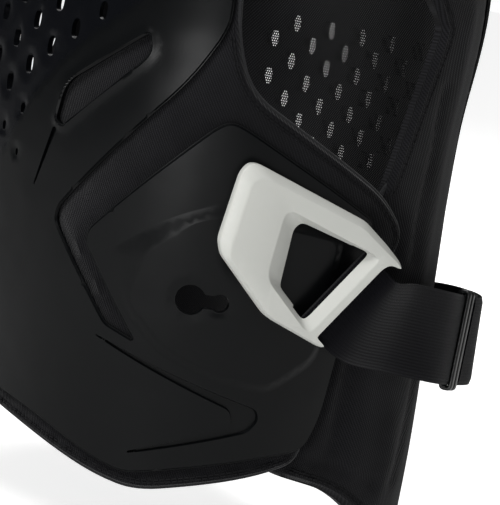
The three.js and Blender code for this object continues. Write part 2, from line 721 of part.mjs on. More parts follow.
// The keyhole under the hook is where the stud goes through the shell.
function keyholeOfStud() {
  const point = onHook(hookFrame(), HOOK_STUD.along * HOOK_LENGTH, HOOK_STUD.rise * HOOK_HEIGHT, 0);
  return { turn: turnOf(point), drop: -point.z / BODY_HEIGHT, upright: true };
}

const hiddenKeyhole = keyholeOfStud();

const barFrom = new THREE.Vector2(HOOK_BAR.fromAlong * HOOK_LENGTH, HOOK_BAR.fromRise * HOOK_HEIGHT);
const barTo = new THREE.Vector2(HOOK_BAR.toAlong * HOOK_LENGTH, HOOK_BAR.toRise * HOOK_HEIGHT);
const barWay = barTo.clone().sub(barFrom).normalize();
const barOut = new THREE.Vector2(barWay.y, -barWay.x);
const barMiddle = barFrom.clone().add(barTo).multiplyScalar(0.5);
const POCKET_REACH_IN = -20;
const POCKET_REACH_OUT = 24;
const WINDOW_FLOOR = 2;

// Off-white hook: bevelled plate, sloped window, strap pocket behind the bar, stud behind the plate.
function hook() {
  const frame = hookFrame();
  const outer = hookPoints(HOOK_OUTLINE, 'along', 'rise');
  const rim = hookPoints(HOOK_OUTLINE, 'inAlong', 'inRise');
  const recess = hookPoints(HOOK_WINDOW, 'along', 'rise');
  const hole = hookPoints(HOOK_WINDOW, 'holeAlong', 'holeRise');
  const shoulder = HOOK_THICKNESS - HOOK_BEVEL;
  const plate = onPlate(ringStack([
    { ring: outer, height: 0 },
    { ring: outer, height: shoulder },
    { ring: rim, height: HOOK_THICKNESS },
  ]));
  const opening = onPlate(ringStack([
    { ring: hole, height: -1 },
    { ring: hole, height: WINDOW_FLOOR },
    { ring: recess, height: HOOK_THICKNESS },
    { ring: recess, height: HOOK_THICKNESS + 1 },
  ]));
  const half = SIDE_STRAP_WIDTH / 2 + 2 * GAP;
  const corners = [[-1, POCKET_REACH_IN], [1, POCKET_REACH_IN], [1, POCKET_REACH_OUT], [-1, POCKET_REACH_OUT]];
  const pocket = corners.map(([side, out]) => (
    barMiddle.clone().addScaledVector(barWay, side * half).addScaledVector(barOut, out)
  ));
  const strapPocket = onPlate(ringBlock(pocket, pocket, -1, HOOK_POCKET_DEPTH));
  const stud = place(
    lathe([
      [0, -STUD_NECK_LENGTH - STUD_HEAD_HEIGHT],
      [STUD_HEAD_RADIUS, -STUD_NECK_LENGTH - STUD_HEAD_HEIGHT],
      [STUD_HEAD_RADIUS, -STUD_NECK_LENGTH],
      [STUD_NECK_RADIUS, -STUD_NECK_LENGTH],
      [STUD_NECK_RADIUS, 1],
      [0, 1],
    ], 12),
    onHook(frame, HOOK_STUD.along * HOOK_LENGTH, HOOK_STUD.rise * HOOK_HEIGHT, 0),
    frame.up,
    frame.normal,
  );
  return plate.subtract(opening).subtract(strapPocket).add(stud);
}

// Smooth stations of the side strap on the wearer's left, from under the bar to the back shell.
function sideStrapStations() {
  const frame = hookFrame();
  const behindBar = (out, depth) => {
    const p = barMiddle.clone().addScaledVector(barOut, out);
    return onHook(frame, p.x, p.y, depth);
  };
  const pocketDepth = HOOK_POCKET_DEPTH - GAP - STRAP_THICKNESS;
  const free = STRAP_STATIONS.map(({ turn, drop, stand }) => layerPoint(turn, drop * BODY_HEIGHT, stand));
  const anchorFall = ANCHOR_DROP * BODY_HEIGHT;
  const onShell = [ANCHOR_TURN - 8, ANCHOR_TURN, ANCHOR_TURN + ANCHOR_OVERLAP]
    .map((turn) => layerPoint(turn, anchorFall, backShellOuter + STRAP_SEAT));
  const held = [[-12, 0], [2, 0], [14, 0.5]].map(([out, lift]) => behindBar(out, pocketDepth + lift));
  const points = [...held, ...free, ...onShell];
  const curve = new THREE.CatmullRomCurve3(points, false, 'centripetal');
  const barAcross = new THREE.Vector3()
    .addScaledVector(frame.along, barWay.x)
    .addScaledVector(frame.up, barWay.y);
  const stations = [];
  const steps = (points.length - 1) * 2;
  for (let k = 0; k <= steps; k += 1) {
    const t = k / steps;
    const point = curve.getPoint(t);
    const tangent = curve.getTangent(t);
    const rise = riseAt(turnOf(point), -point.z, shellOuter);
    const level = rise.addScaledVector(tangent, -rise.dot(tangent)).normalize();
    const blend = THREE.MathUtils.smoothstep(k, 2, 8);
    const across = barAcross.clone().lerp(level, blend).normalize();
    const normal = tangent.clone().cross(across).normalize();
    stations.push({ point, across, normal, index: k, inner: 0, outer: STRAP_THICKNESS });
  }
  return stations;
}

const allStations = sideStrapStations();
const sliderIndex = allStations.findIndex(({ point }) => turnOf(point) >= SLIDER_TURN);
allStations.forEach((station) => {
  if (station.index > sliderIndex + 1 && station.index < allStations.length - 5) {
    station.outer = 2 * STRAP_THICKNESS + GAP;
  }
});

function sideStrap() {
  return ribbon(allStations, SIDE_STRAP_WIDTH);
}

// Strap slider: a flat loop round the strap with a slit between its two front bars.
function slider() {
  const station = allStations[sliderIndex];
  const deep = STRAP_THICKNESS + 2 * GAP;
  const long = SIDE_STRAP_WIDTH + 4 * GAP;
  const outerBox = new THREE.BoxGeometry(long + 2 * SLIDER_WALL, SLIDER_WIDTH, deep + 2 * SLIDER_WALL);
  const innerBox = new THREE.BoxGeometry(long, SLIDER_WIDTH + 2, deep);
  const slit = new THREE.BoxGeometry(long, SLIDER_SLIT, 2 * SLIDER_WALL);
  slit.translate(0, 0, deep / 2 + SLIDER_WALL - 0.1);
  const centre = station.point.clone().addScaledVector(station.normal, STRAP_THICKNESS / 2);
  const at = (geometry) => place(geometry, centre, station.across, station.normal);
  return at(outerBox).subtract(at(innerBox)).subtract(at(slit));
}

// Snap: a shallow round cap with a post, seated on a strap.
function snap(point, normal) {
  const postLength = STRAP_THICKNESS + 2 * GAP + SHELL_THICKNESS - SNAP_POST_SHORT;
  const profile = [
    [0, -postLength],
    [SNAP_POST_RADIUS, -postLength],
    [SNAP_POST_RADIUS, 0],
    [SNAP_CAP_RADIUS, 0],
    [SNAP_CAP_RADIUS, SNAP_CAP_HEIGHT * 0.55],
    [SNAP_CAP_RADIUS * 0.78, SNAP_CAP_HEIGHT],
    [0, SNAP_CAP_HEIGHT],
  ];
  return place(lathe(profile, 10), point, new THREE.Vector3(0, 0, 1), normal);
}

function snapHole(point, normal) {
  const radius = SNAP_POST_RADIUS + GAP;
  const profile = [[0, -CUT_REACH], [radius, -CUT_REACH], [radius, CUT_REACH], [0, CUT_REACH]];
  return place(lathe(profile, 8), point, new THREE.Vector3(0, 0, 1), normal);
}

// Shoulder arch over the wearer's left shoulder, from the front shell to the back shell.
function shoulderStations() {
  const onShell = (turn, fall, outer, way) => {
    const point = layerPoint(turn, fall, outer + GAP);
    const travel = riseAt(turn, fall, outer).multiplyScalar(way);
    const normal = outwardAt(turn, fall, outer);
    return { point, across: normal.clone().cross(travel), normal };
  };
  const arch = [];
  for (let k = 0; k <= ARCH_STEPS; k += 1) {
    const angle = THREE.MathUtils.degToRad(90 + ARCH_SPREAD * ((2 * k) / ARCH_STEPS - 1));
    const normal = new THREE.Vector3(0, -Math.cos(angle), Math.sin(angle));
    const depth = -SHOULDER_HALF_DEPTH * Math.cos(angle);
    const base = new THREE.Vector3(SHOULDER_OUT, depth, SHOULDER_RISE * (Math.sin(angle) - 1));
    const point = base.addScaledVector(normal, PAD_THICKNESS + GAP);
    arch.push({ point, across: new THREE.Vector3(-1, 0, 0), normal, arch: true });
  }
  const front = FRONT_TABS.map((fall) => onShell(SHOULDER_TURN, fall, shellOuter, 1));
  const back = BACK_TABS.map((fall) => onShell(180 - SHOULDER_TURN, fall, backShellOuter, -1));
  return [...front, ...arch, ...back].map((station) => ({ ...station, inner: 0, outer: STRAP_THICKNESS }));
}

const shoulder = shoulderStations();

function shoulderStrap() {
  return ribbon(shoulder, SHOULDER_STRAP_WIDTH);
}

function shoulderPad() {
  const arch = shoulder.filter((station) => station.arch);
  const under = arch.map((station) => ({ ...station, inner: -GAP - PAD_THICKNESS, outer: -GAP }));
  return ribbon(under, PAD_WIDTH);
}

const MATERIALS = {
  shell: { color: 0x17181a, roughness: 0.42, metalness: 0 },
  liner: { color: 0x121214, roughness: 0.95, metalness: 0 },
  mesh: { color: 0x0e0e10, roughness: 0.9, metalness: 0 },
  hook: { color: 0xdcddd8, roughness: 0.45, metalness: 0 },
  strap: { color: 0x0c0c10, roughness: 0.85, metalness: 0 },
  slider: { color: 0x2a2a2c, roughness: 0.35, metalness: 0 },
  snap: { color: 0x1b1b1d, roughness: 0.4, metalness: 0 },
};

const group = new THREE.Group();

function addPiece(name, solid, finish) {
  const mesh = new THREE.Mesh(toGeometry(solid), new THREE.MeshStandardMaterial(MATERIALS[finish]));
  mesh.name = name;
  group.add(mesh);
}

let flatShell = flatPanel(mirroredOutline(FRONT_SHELL, 0), FRONT_SPAN, shellInner, shellOuter);
let flatLiner = flatPanel(mirroredOutline(FRONT_LINER, 0), FRONT_SPAN, linerInner, linerOuter);
[1, -1].forEach((sign) => {
  const flip = (points) => (sign > 0 ? points : flipOutline(points));
  const foot = flip(PLATEAU.map(({ turn, drop }) => new THREE.Vector2(turn, -drop * BODY_HEIGHT)));
  const top = flip(PLATEAU.map(({ topTurn: turn, topDrop }) => new THREE.Vector2(turn, -topDrop * BODY_HEIGHT)));
  const over = top.map((p, i) => p.clone().sub(foot[i]).multiplyScalar(PLATEAU_OVER).add(foot[i]));
  const domed = (p) => new THREE.Vector3(p.x, p.y, p.z + domeAt(p.x, p.y));
  const base = solidOf(ringBlock(foot, foot, shellOuter - PLATEAU_SUNK, shellOuter), domed);
  const slope = solidOf(ringBlock(foot, over, shellOuter, shellOuter + PLATEAU_OVER * PLATEAU_RISE), domed);
  const slab = flatSheet(...FRONT_SPAN, shellInner, shellOuter + PLATEAU_RISE);
  const raised = base.add(slope).intersect(slab);
  flatShell = flatShell.add(raised);
  flatShell = flatShell.subtract(flatCutter(sideOutline(VENT, sign), shellOuter));
  [VENT_TAIL, CHEVRON].forEach((rows) => {
    const floor = shellOuter - GROOVE_DEPTH;
    flatShell = flatShell.subtract(flatPanel(sideOutline(rows, sign), FRONT_SPAN, floor, shellOuter + 1));
  });
  [KEYHOLE, hiddenKeyhole].forEach((keyhole) => {
    flatShell = flatShell.subtract(keyholeCut(keyhole, sign));
    flatLiner = flatLiner.subtract(keyholePocket(keyhole, sign));
  });
});
let frontShell = bendToBody(perforate(flatShell, 0, frontColumns, shellOuter));
const frontLiner = bendToBody(flatLiner.subtract(flatCutter(mirroredOutline(FRONT_WINDOW, 0), linerInner)));

const backWindow = mirroredOutline(BACK_WINDOW, 180);
const backLiner = bendToBody(
  flatPanel(mirroredOutline(BACK_LINER, 180), BACK_SPAN, 0, WING_THICKNESS).subtract(flatCutter(backWindow, 0)),
);
const windowDrop = (BACK_WINDOW[0].drop + BACK_WINDOW.at(-1).drop) / 2;
const windowMiddle = new THREE.Vector2(180, -windowDrop * BODY_HEIGHT);
const meshShare = 1 - MESH_CLEARANCE / 60;
const meshOutline = backWindow.map((p) => p.clone().sub(windowMiddle).multiplyScalar(meshShare).add(windowMiddle));
const backMesh = bendToBody(flatPanel(meshOutline, BACK_SPAN, WING_THICKNESS - MESH_THICKNESS, WING_THICKNESS));
const flatBack = flatPanel(mirroredOutline(BACK_SHELL, 180), BACK_SPAN, backShellInner, backShellOuter);
let backShell = bendToBody(perforate(flatBack, 180, backColumns, backShellOuter));

// A piece that is worn on both sides of the body
function addPair(name, solid, finish) {
  addPiece(`${name}_left`, solid, finish);
  addPiece(`${name}_right`, mirrored(solid), finish);
}

// Snaps: both ends of each shoulder strap and the back end of each side strap
const fastenings = [
  { name: 'snap_front', station: shoulder[1] },
  { name: 'snap_back', station: shoulder.at(-2) },
  { name: 'snap_side', station: allStations.at(-3) },
];
let strapAcross = sideStrap();
let strapOver = shoulderStrap();
fastenings.forEach(({ name, station }) => {
  const seat = station.point.clone().addScaledVector(station.normal, STRAP_THICKNESS + GAP);
  const hole = snapHole(station.point, station.normal);
  strapAcross = strapAcross.subtract(hole);
  strapOver = strapOver.subtract(hole);
  frontShell = frontShell.subtract(hole).subtract(mirrored(hole));
  backShell = backShell.subtract(hole).subtract(mirrored(hole));
  addPair(name, snap(seat, station.normal), 'snap');
});

addPair('hook', hook(), 'hook');
addPair('side_strap', strapAcross, 'strap');
addPair('strap_slider', slider(), 'slider');
addPair('shoulder_strap', strapOver, 'strap');
addPair('shoulder_pad', shoulderPad(), 'liner');
addPiece('front_shell', frontShell, 'shell');
addPiece('front_liner', frontLiner, 'liner');
addPiece('back_liner', backLiner, 'liner');
addPiece('back_mesh', backMesh, 'mesh');
addPiece('back_shell', backShell, 'shell');

export default group;
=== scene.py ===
"""Dressed roost deflector: moulded shells, padded liners, spacer mesh, webbing and hook buckles.

Sizes are in millimetres and become metres where a mesh is made. A place on the body is given by
its turn (degrees round from the middle of the chest to the wearer's left), its fall (millimetres
below the shoulders) and its standoff from the body form.
"""

from __future__ import annotations

import logging
import math
from dataclasses import dataclass, field
from enum import Enum
from typing import Callable, Iterable, Sequence

import bmesh
import bpy
import numpy as np
from mathutils import Matrix, Vector
from mathutils.geometry import delaunay_2d_cdt

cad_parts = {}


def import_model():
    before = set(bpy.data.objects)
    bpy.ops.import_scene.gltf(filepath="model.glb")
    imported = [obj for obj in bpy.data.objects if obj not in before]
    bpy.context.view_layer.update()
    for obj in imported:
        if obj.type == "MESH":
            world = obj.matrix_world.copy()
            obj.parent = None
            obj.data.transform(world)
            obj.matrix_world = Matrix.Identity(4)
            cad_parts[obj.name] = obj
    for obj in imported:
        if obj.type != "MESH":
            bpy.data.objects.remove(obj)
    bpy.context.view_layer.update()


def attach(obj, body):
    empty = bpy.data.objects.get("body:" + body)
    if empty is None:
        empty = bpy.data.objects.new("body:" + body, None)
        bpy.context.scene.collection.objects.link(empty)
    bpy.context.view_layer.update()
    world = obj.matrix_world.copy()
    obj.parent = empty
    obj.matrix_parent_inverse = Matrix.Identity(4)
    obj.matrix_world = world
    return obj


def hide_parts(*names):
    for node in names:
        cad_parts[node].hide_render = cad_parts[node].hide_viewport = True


logging.basicConfig(level=logging.INFO, format="%(message)s")
LOG = logging.getLogger("roost_deflector")

MM = 0.001
BODY_HEIGHT = 430.0
BODY_HALF_WIDTH = 158.0
CHEST_DEPTH = 124.0
BACK_DEPTH = 111.0
SECTION_POWER = 2.3
WING_FLARE = 18.5
FLAT_SCALE = 2.7

WING_THICKNESS = 6.0
LAYER_GAP = 0.5
LINER_THICKNESS = 3.6
SHELL_THICKNESS = 3.0
LINER_INNER = WING_THICKNESS + LAYER_GAP
LINER_OUTER = LINER_INNER + LINER_THICKNESS
SHELL_INNER = LINER_OUTER + LAYER_GAP
SHELL_OUTER = SHELL_INNER + SHELL_THICKNESS
BACK_SHELL_INNER = WING_THICKNESS + LAYER_GAP
BACK_SHELL_OUTER = BACK_SHELL_INNER + SHELL_THICKNESS

WEBBING_WIDTH = 50.0
WEBBING_THICKNESS = 2.2
WEBBING_GAP = 0.35
SLOT_CLEARANCE = 0.7

Row = tuple[float, float, float]
Faces = list[tuple[int, ...]]
Station = tuple[np.ndarray, np.ndarray, np.ndarray, bool]

# Horizontal sections: drop, then half width, front depth, back depth and wing flare as shares
SECTIONS = np.array([
    (0.0, 0.8, 0.41, 0.52, 0.8),
    (0.14, 0.905, 0.72, 0.83, 0.8),
    (0.302, 0.98, 0.935, 0.982, 0.42),
    (0.465, 1.0, 1.0, 1.0, 0.0),
    (0.651, 0.962, 0.984, 0.91, 0.4),
    (0.86, 0.892, 0.919, 0.811, 1.0),
    (1.0, 0.867, 0.887, 0.811, 1.0),
])

# Half outlines: turn, drop and corner radius
FRONT_SHELL: list[Row] = [
    (0, 0.285, 0), (17, 0.262, 14), (28, 0.205, 20), (36, 0.124, 7), (58, 0.124, 9), (56, 0.2, 20),
    (56.6, 0.317, 20), (56.3, 0.352, 12), (50.6, 0.418, 16), (26.2, 0.596, 4), (25.8, 0.614, 4),
    (39.9, 0.723, 3), (45.9, 0.736, 1), (33.4, 0.63, 4), (34.0, 0.613, 4), (56.0, 0.467, 5),
    (58.7, 0.456, 5), (62.0, 0.464, 8), (88.4, 0.561, 6), (86.6, 0.718, 20), (85.9, 0.815, 12),
    (83.4, 0.857, 8), (72.2, 0.869, 30), (47.2, 0.906, 8), (40.5, 0.896, 10), (22.5, 0.858, 20),
    (0, 0.835, 0),
]
FRONT_LINER: list[Row] = [
    (0, 0.264, 0), (15, 0.243, 14), (25, 0.19, 20), (33, 0.118, 8), (61, 0.118, 9), (58.6, 0.2, 20),
    (57.9, 0.345, 24), (61.6, 0.42, 14), (90.4, 0.53, 14), (96.6, 0.575, 10), (95.0, 0.61, 10),
    (87.0, 0.64, 14), (85.4, 0.8, 20), (83.0, 0.874, 8), (74.0, 0.893, 20), (50.0, 0.927, 14),
    (40.9, 0.918, 14), (20.0, 0.883, 20), (0, 0.858, 0),
]
BACK_LINER: list[Row] = [
    (180, 0.17, 0), (160, 0.15, 14), (148, 0.095, 10), (118, 0.095, 12), (108, 0.19, 20),
    (93.4, 0.27, 8), (99.6, 0.325, 7), (91.0, 0.53, 14), (88.0, 0.575, 14), (76.0, 0.62, 20),
    (72.0, 0.86, 10), (77.4, 0.889, 8), (93.0, 0.916, 10), (101.0, 0.955, 14), (118.0, 1.0, 30),
    (180, 1.0, 0),
]
BACK_SHELL: list[Row] = [
    (180, 0.19, 0), (158, 0.17, 14), (146, 0.1, 8), (121, 0.1, 10), (116, 0.24, 24), (122, 0.42, 40),
    (124, 0.6, 30), (132, 0.86, 30), (150, 0.965, 24), (180, 0.985, 0),
]
BACK_WINDOW: list[Row] = [
    (180, 0.24, 0), (150, 0.24, 16), (124, 0.3, 30), (130, 0.58, 40), (146, 0.78, 20), (180, 0.8, 0),
]
FRONT_WINDOW: list[Row] = [
    (0, 0.312, 0), (19, 0.292, 14), (31, 0.262, 8), (34.5, 0.3, 8), (33, 0.372, 8), (21, 0.44, 14),
    (8, 0.545, 10), (0, 0.56, 0),
]
VENT: list[Row] = [
    (41.8, 0.37, 2), (42.6, 0.39, 6), (41.0, 0.405, 6), (24.9, 0.498, 2), (23.0, 0.492, 2),
    (24.3, 0.448, 8),
]
VENT_TAIL: list[Row] = [(23.9, 0.503, 0), (22.4, 0.5, 0), (17.5, 0.5935, 0), (18.1, 0.5945, 0)]
CHEVRON: list[Row] = [
    (37.3, 0.7355, 0), (71.6, 0.802, 3), (72.6, 0.818, 4), (70.6, 0.835, 3), (47.6, 0.881, 0),
    (47.2, 0.8762, 0), (67.0, 0.827, 5), (66.2, 0.808, 3), (37.0, 0.7395, 0),
]
# Middle lines of the grooves' thin ends
GROOVE_LINES = [
    [(23.15, 0.5015), (17.9, 0.5935)], [(37.4, 0.7375), (69.0, 0.805)], [(47.8, 0.8785), (69.0, 0.831)],
]
PLATEAU_FOOT: list[Row] = [
    (39.4, 0.63, 5), (49.7, 0.581, 8), (60.0, 0.548, 8), (82.5, 0.575, 8), (82.0, 0.74, 8),
    (73.0, 0.784, 8), (62.2, 0.775, 8), (50.8, 0.748, 8), (41.6, 0.691, 8),
]
PLATEAU_TOP: list[Row] = [
    (46.8, 0.629, 4), (55.0, 0.58, 5), (61.6, 0.567, 6), (80.5, 0.588, 6), (80.0, 0.73, 6),
    (72.0, 0.77, 6), (62.6, 0.76, 6), (52.4, 0.735, 6), (44.4, 0.688, 6),
]

HOLE_WIDTH = 5.6
HOLE_HEIGHT = 10.4
HOLE_COLUMN_STEP = 14.3
HOLE_ROW_STEP = 23.4
HOLE_LOW_ROW = 211.0
# Column, steps of half a row below the lowest row, count, share of the full size
FRONT_HOLES = [
    (0, 0, 4, 1.0), (1, -1, 4, 1.0), (2, -2, 3, 1.0), (3, -3, 3, 1.0), (4, -4, 2, 1.0), (5, -5, 2, 0.9),
    (1, 1, 1, 0.5), (2, 2, 1, 0.36), (2, 0, 1, 0.62),
]
BACK_HOLES = [
    (0, 4, 5, 1.0), (1, 3, 4, 1.0), (2, 2, 4, 1.0), (3, 1, 3, 1.0), (4, 0, 3, 1.0), (5, -1, 2, 1.0),
]
PORE_PITCH = 1.6
PORE_SIZE = 0.98

KEYHOLE_BIG_RADIUS = 8.0
KEYHOLE_SMALL_RADIUS = 4.9
KEYHOLE_SPACING = 15.0
KEYHOLE_NECK = 7.4
KEYHOLE = (61.1, 0.674)


class Side(Enum):
    """A side of the wearer's body."""

    LEFT = 1
    RIGHT = -1

    @property
    def word(self) -> str:
        """The side as it stands in a node's name."""
        return self.name.lower()


class BodyForm:
    """The body form that all layers follow, as in the CAD."""

    def section(self, column: int, drop: np.ndarray) -> np.ndarray:
        """Reads one column of the sections smoothly.

        Args:
            column: column of SECTIONS.
            drop: shares of the body height.

        Returns:
            The column's value at each drop.
        """
        at = np.clip(drop, 0, 1)
        rows = SECTIONS[:, 0]
        last = len(rows) - 1
        i = np.clip(np.searchsorted(rows, at, side="right") - 1, 0, last - 1)
        lower, upper = np.maximum(np.arange(last + 1) - 1, 0), np.minimum(np.arange(last + 1) + 1, last)
        slope = (SECTIONS[upper, column] - SECTIONS[lower, column]) / (rows[upper] - rows[lower])
        h = rows[i + 1] - rows[i]
        t = (at - rows[i]) / h
        s = t * t * (3 - 2 * t)
        bend = t * (1 - t) ** 2 * slope[i] - t * t * (1 - t) * slope[i + 1]
        return SECTIONS[i, column] * (1 - s) + SECTIONS[i + 1, column] * s + h * bend

    def flare(self, turn: np.ndarray, drop: np.ndarray) -> np.ndarray:
        """How far the side wings stand out, in millimetres."""
        side = 180 - np.abs(180 - np.abs(turn))
        return WING_FLARE * self.section(4, drop) * smooth(side, 86, 108) * (1 - smooth(side, 135, 172))

    def point(self, turn: np.ndarray, fall: np.ndarray, standoff: np.ndarray) -> np.ndarray:
        """Places on a layer.

        Args:
            turn: degrees round the body.
            fall: millimetres below the shoulders.
            standoff: millimetres out from the body form.

        Returns:
            An array of points in millimetres.
        """
        turn, fall, standoff = np.broadcast_arrays(*(np.asarray(a, float) for a in (turn, fall, standoff)))
        drop = fall / BODY_HEIGHT
        out = standoff + self.flare(turn, drop)
        s, c = np.sin(np.radians(turn)), np.cos(np.radians(turn))
        half = BODY_HALF_WIDTH * self.section(1, drop) + out
        front, back = CHEST_DEPTH * self.section(2, drop), BACK_DEPTH * self.section(3, drop)
        depth = np.where(c > 0, front, back) + out
        radius = (np.abs(s / half) ** SECTION_POWER + np.abs(c / depth) ** SECTION_POWER) ** (-1 / SECTION_POWER)
        return np.stack([radius * s, -radius * c, -fall], axis=-1)

    def rise(self, turn: float, fall: float, standoff: float) -> np.ndarray:
        """The way up along a layer."""
        return unit(self.point(turn, fall - 5, standoff) - self.point(turn, fall + 5, standoff))

    def outward(self, turn: float, fall: float, standoff: float) -> np.ndarray:
        """The way straight out of a layer."""
        along = self.point(turn + 1, fall, standoff) - self.point(turn - 1, fall, standoff)
        return unit(np.cross(along, self.rise(turn, fall, standoff)))

    def degrees_per_mm(self, turn: float, fall: float) -> float:
        """Degrees of turn that make one millimetre round the shell."""
        ends = self.point(np.array([turn - 0.5, turn + 0.5]), fall, SHELL_OUTER)
        return 1 / float(np.linalg.norm(ends[1] - ends[0]))


FORM = BodyForm()


def smooth(x: np.ndarray, low: float, high: float) -> np.ndarray:
    """Smooth step from 0 at low to 1 at high."""
    t = np.clip((np.asarray(x, float) - low) / (high - low), 0, 1)
    return t * t * (3 - 2 * t)


def unit(v: np.ndarray) -> np.ndarray:
    """The vector at length 1."""
    return v / np.linalg.norm(v)


def rounded(rows: Sequence[Sequence[float]], closed: bool, steps: int = 7) -> np.ndarray:
    """Rounds the corners of an outline.

    Args:
        rows: points with a corner radius, in flat millimetres.
        closed: whether the last point joins the first.
        steps: pieces of each rounded corner.

    Returns:
        The points of the rounded outline.
    """
    path: list[np.ndarray] = []
    count = len(rows)
    for i, (u, v, radius) in enumerate(rows):
        here = np.array([u, v])
        if radius == 0 or (not closed and i in (0, count - 1)):
            path.append(here)
            continue
        ends = []
        for other in (rows[i - 1], rows[(i + 1) % count]):
            away = np.array(other[:2]) - here
            length = float(np.linalg.norm(away))
            ends.append(here + away / length * min(radius, length * 0.45))
        for k in range(steps + 1):
            t = k / steps
            path.append(ends[0] * (1 - t) ** 2 + here * 2 * t * (1 - t) + ends[1] * t * t)
    return np.array(path)


def flat_rows(rows: Sequence[Row]) -> list[tuple[float, float, float]]:
    """Rows of turn, drop and radius in flat millimetres."""
    return [(turn * FLAT_SCALE, -drop * BODY_HEIGHT, radius) for turn, drop, radius in rows]


def flat_line(rows: Sequence[tuple[float, float]]) -> np.ndarray:
    """Turns and drops as points in flat millimetres."""
    return np.array(rows) * [FLAT_SCALE, -BODY_HEIGHT]


def mirrored_outline(rows: Sequence[Row], middle: float) -> np.ndarray:
    """Whole outline of a piece that is the same on both sides of a middle turn."""
    half = rounded(flat_rows(rows), closed=False)
    return np.vstack([half, half[1:-1][::-1] * [-1, 1] + [2 * middle * FLAT_SCALE, 0]])


def side_outline(rows: Sequence[Row], side: Side) -> np.ndarray:
    """Closed outline on one side of the body."""
    outline = rounded(flat_rows(rows), closed=True)
    return outline if side is Side.LEFT else (outline * [-1, 1])[::-1]


def spaced(loop: np.ndarray, step: float, closed: bool = True) -> np.ndarray:
    """Adds points to a polyline so that none of its edges is longer than step.

    Args:
        loop: points of the polyline.
        step: longest edge.
        closed: whether the last point joins the first.

    Returns:
        The points of the new polyline.
    """
    ends = np.roll(loop, -1, axis=0) if closed else np.vstack([loop[1:], loop[-1:]])
    points: list[np.ndarray] = []
    for a, b in zip(loop, ends):
        pieces = max(1, math.ceil(float(np.linalg.norm(b - a)) / step))
        points.extend(a + (b - a) * k / pieces for k in range(pieces))
    clean = [points[0]]
    for p in points[1:]:
        if np.linalg.norm(p - clean[-1]) > 0.02:
            clean.append(p)
    if closed and np.linalg.norm(clean[-1] - clean[0]) < 0.02:
        clean.pop()
    return np.array(clean)


def inward(loop: np.ndarray) -> np.ndarray:
    """Directions into a closed loop.

    Args:
        loop: points of the loop.

    Returns:
        A unit vector for each point.
    """
    after = np.roll(loop, -1, axis=0)
    along = after - np.roll(loop, 1, axis=0)
    along /= np.linalg.norm(along, axis=1)[:, None]
    area = np.sum(loop[:, 0] * after[:, 1] - after[:, 0] * loop[:, 1])
    return np.stack([-along[:, 1], along[:, 0]], axis=1) * (1 if area > 0 else -1)


def inside(points: np.ndarray, loop: np.ndarray) -> np.ndarray:
    """Which points lie inside a closed loop.

    Args:
        points: flat points.
        loop: points of the loop.

    Returns:
        True for each point inside.
    """
    result = np.zeros(len(points), bool)
    low, high = loop.min(axis=0), loop.max(axis=0)
    near = np.all((points >= low) & (points <= high), axis=1)
    if not near.any():
        return result
    x, y = points[near, 0][:, None], points[near, 1][:, None]
    a, b = loop, np.roll(loop, -1, axis=0)
    crosses = (a[:, 1] > y) != (b[:, 1] > y)
    with np.errstate(divide="ignore", invalid="ignore"):
        at = a[:, 0] + (y - a[:, 1]) * (b[:, 0] - a[:, 0]) / (b[:, 1] - a[:, 1])
    result[near] = (np.sum(crosses & (x < at), axis=1) % 2) == 1
    return result


def distance(points: np.ndarray, loop: np.ndarray, reach: float = 40.0, closed: bool = True) -> np.ndarray:
    """Distance from points to a polyline, with reach for those further off.

    Args:
        points: flat points.
        loop: points of the polyline.
        reach: largest distance that matters.
        closed: whether the last point joins the first.

    Returns:
        The distance of each point.
    """
    result = np.full(len(points), reach)
    low, high = loop.min(axis=0) - reach, loop.max(axis=0) + reach
    near = np.all((points >= low) & (points <= high), axis=1)
    if not near.any():
        return result
    p = points[near][:, None, :]
    a = loop if closed else loop[:-1]
    b = np.roll(loop, -1, axis=0) if closed else loop[1:]
    ab = b - a
    t = np.clip(np.sum((p - a) * ab, axis=2) / np.maximum(np.sum(ab * ab, axis=1), 1e-9), 0, 1)
    gap = p - (a + ab * t[..., None])
    result[near] = np.minimum(np.sqrt(np.min(np.sum(gap * gap, axis=2), axis=1)), reach)
    return result


def within(points: np.ndarray, loop: np.ndarray, low: float, high: float) -> np.ndarray:
    """0 outside a loop and up to low inside its edge, rising smoothly to 1 at high."""
    return np.where(inside(points, loop), smooth(distance(points, loop, 20), low, high), 0.0)


def hole_loop(turn: float, fall: float, share: float) -> np.ndarray:
    """Rounded upright perforation."""
    width = HOLE_WIDTH * share * FORM.degrees_per_mm(turn, fall) * FLAT_SCALE
    return round_section(width, HOLE_HEIGHT * share, 20, 0.8) + [turn * FLAT_SCALE, -fall]


def hole_places(table: Iterable[tuple[int, int, int, float]], middle: float) -> list[tuple[float, float, float]]:
    """Turn, fall and share of each perforation of a table.

    Args:
        table: rows of column, steps below the lowest row, count and share.
        middle: turn of column 0.

    Returns:
        A row for each perforation.
    """
    places = []
    for column, steps, count, share in table:
        for side in (-1, 1) if column else (1,):
            for row in range(count):
                fall = HOLE_LOW_ROW + steps * HOLE_ROW_STEP / 2 - row * HOLE_ROW_STEP
                turn = middle + side * column * HOLE_COLUMN_STEP * FORM.degrees_per_mm(middle, fall)
                places.append((turn, fall, share))
    return places


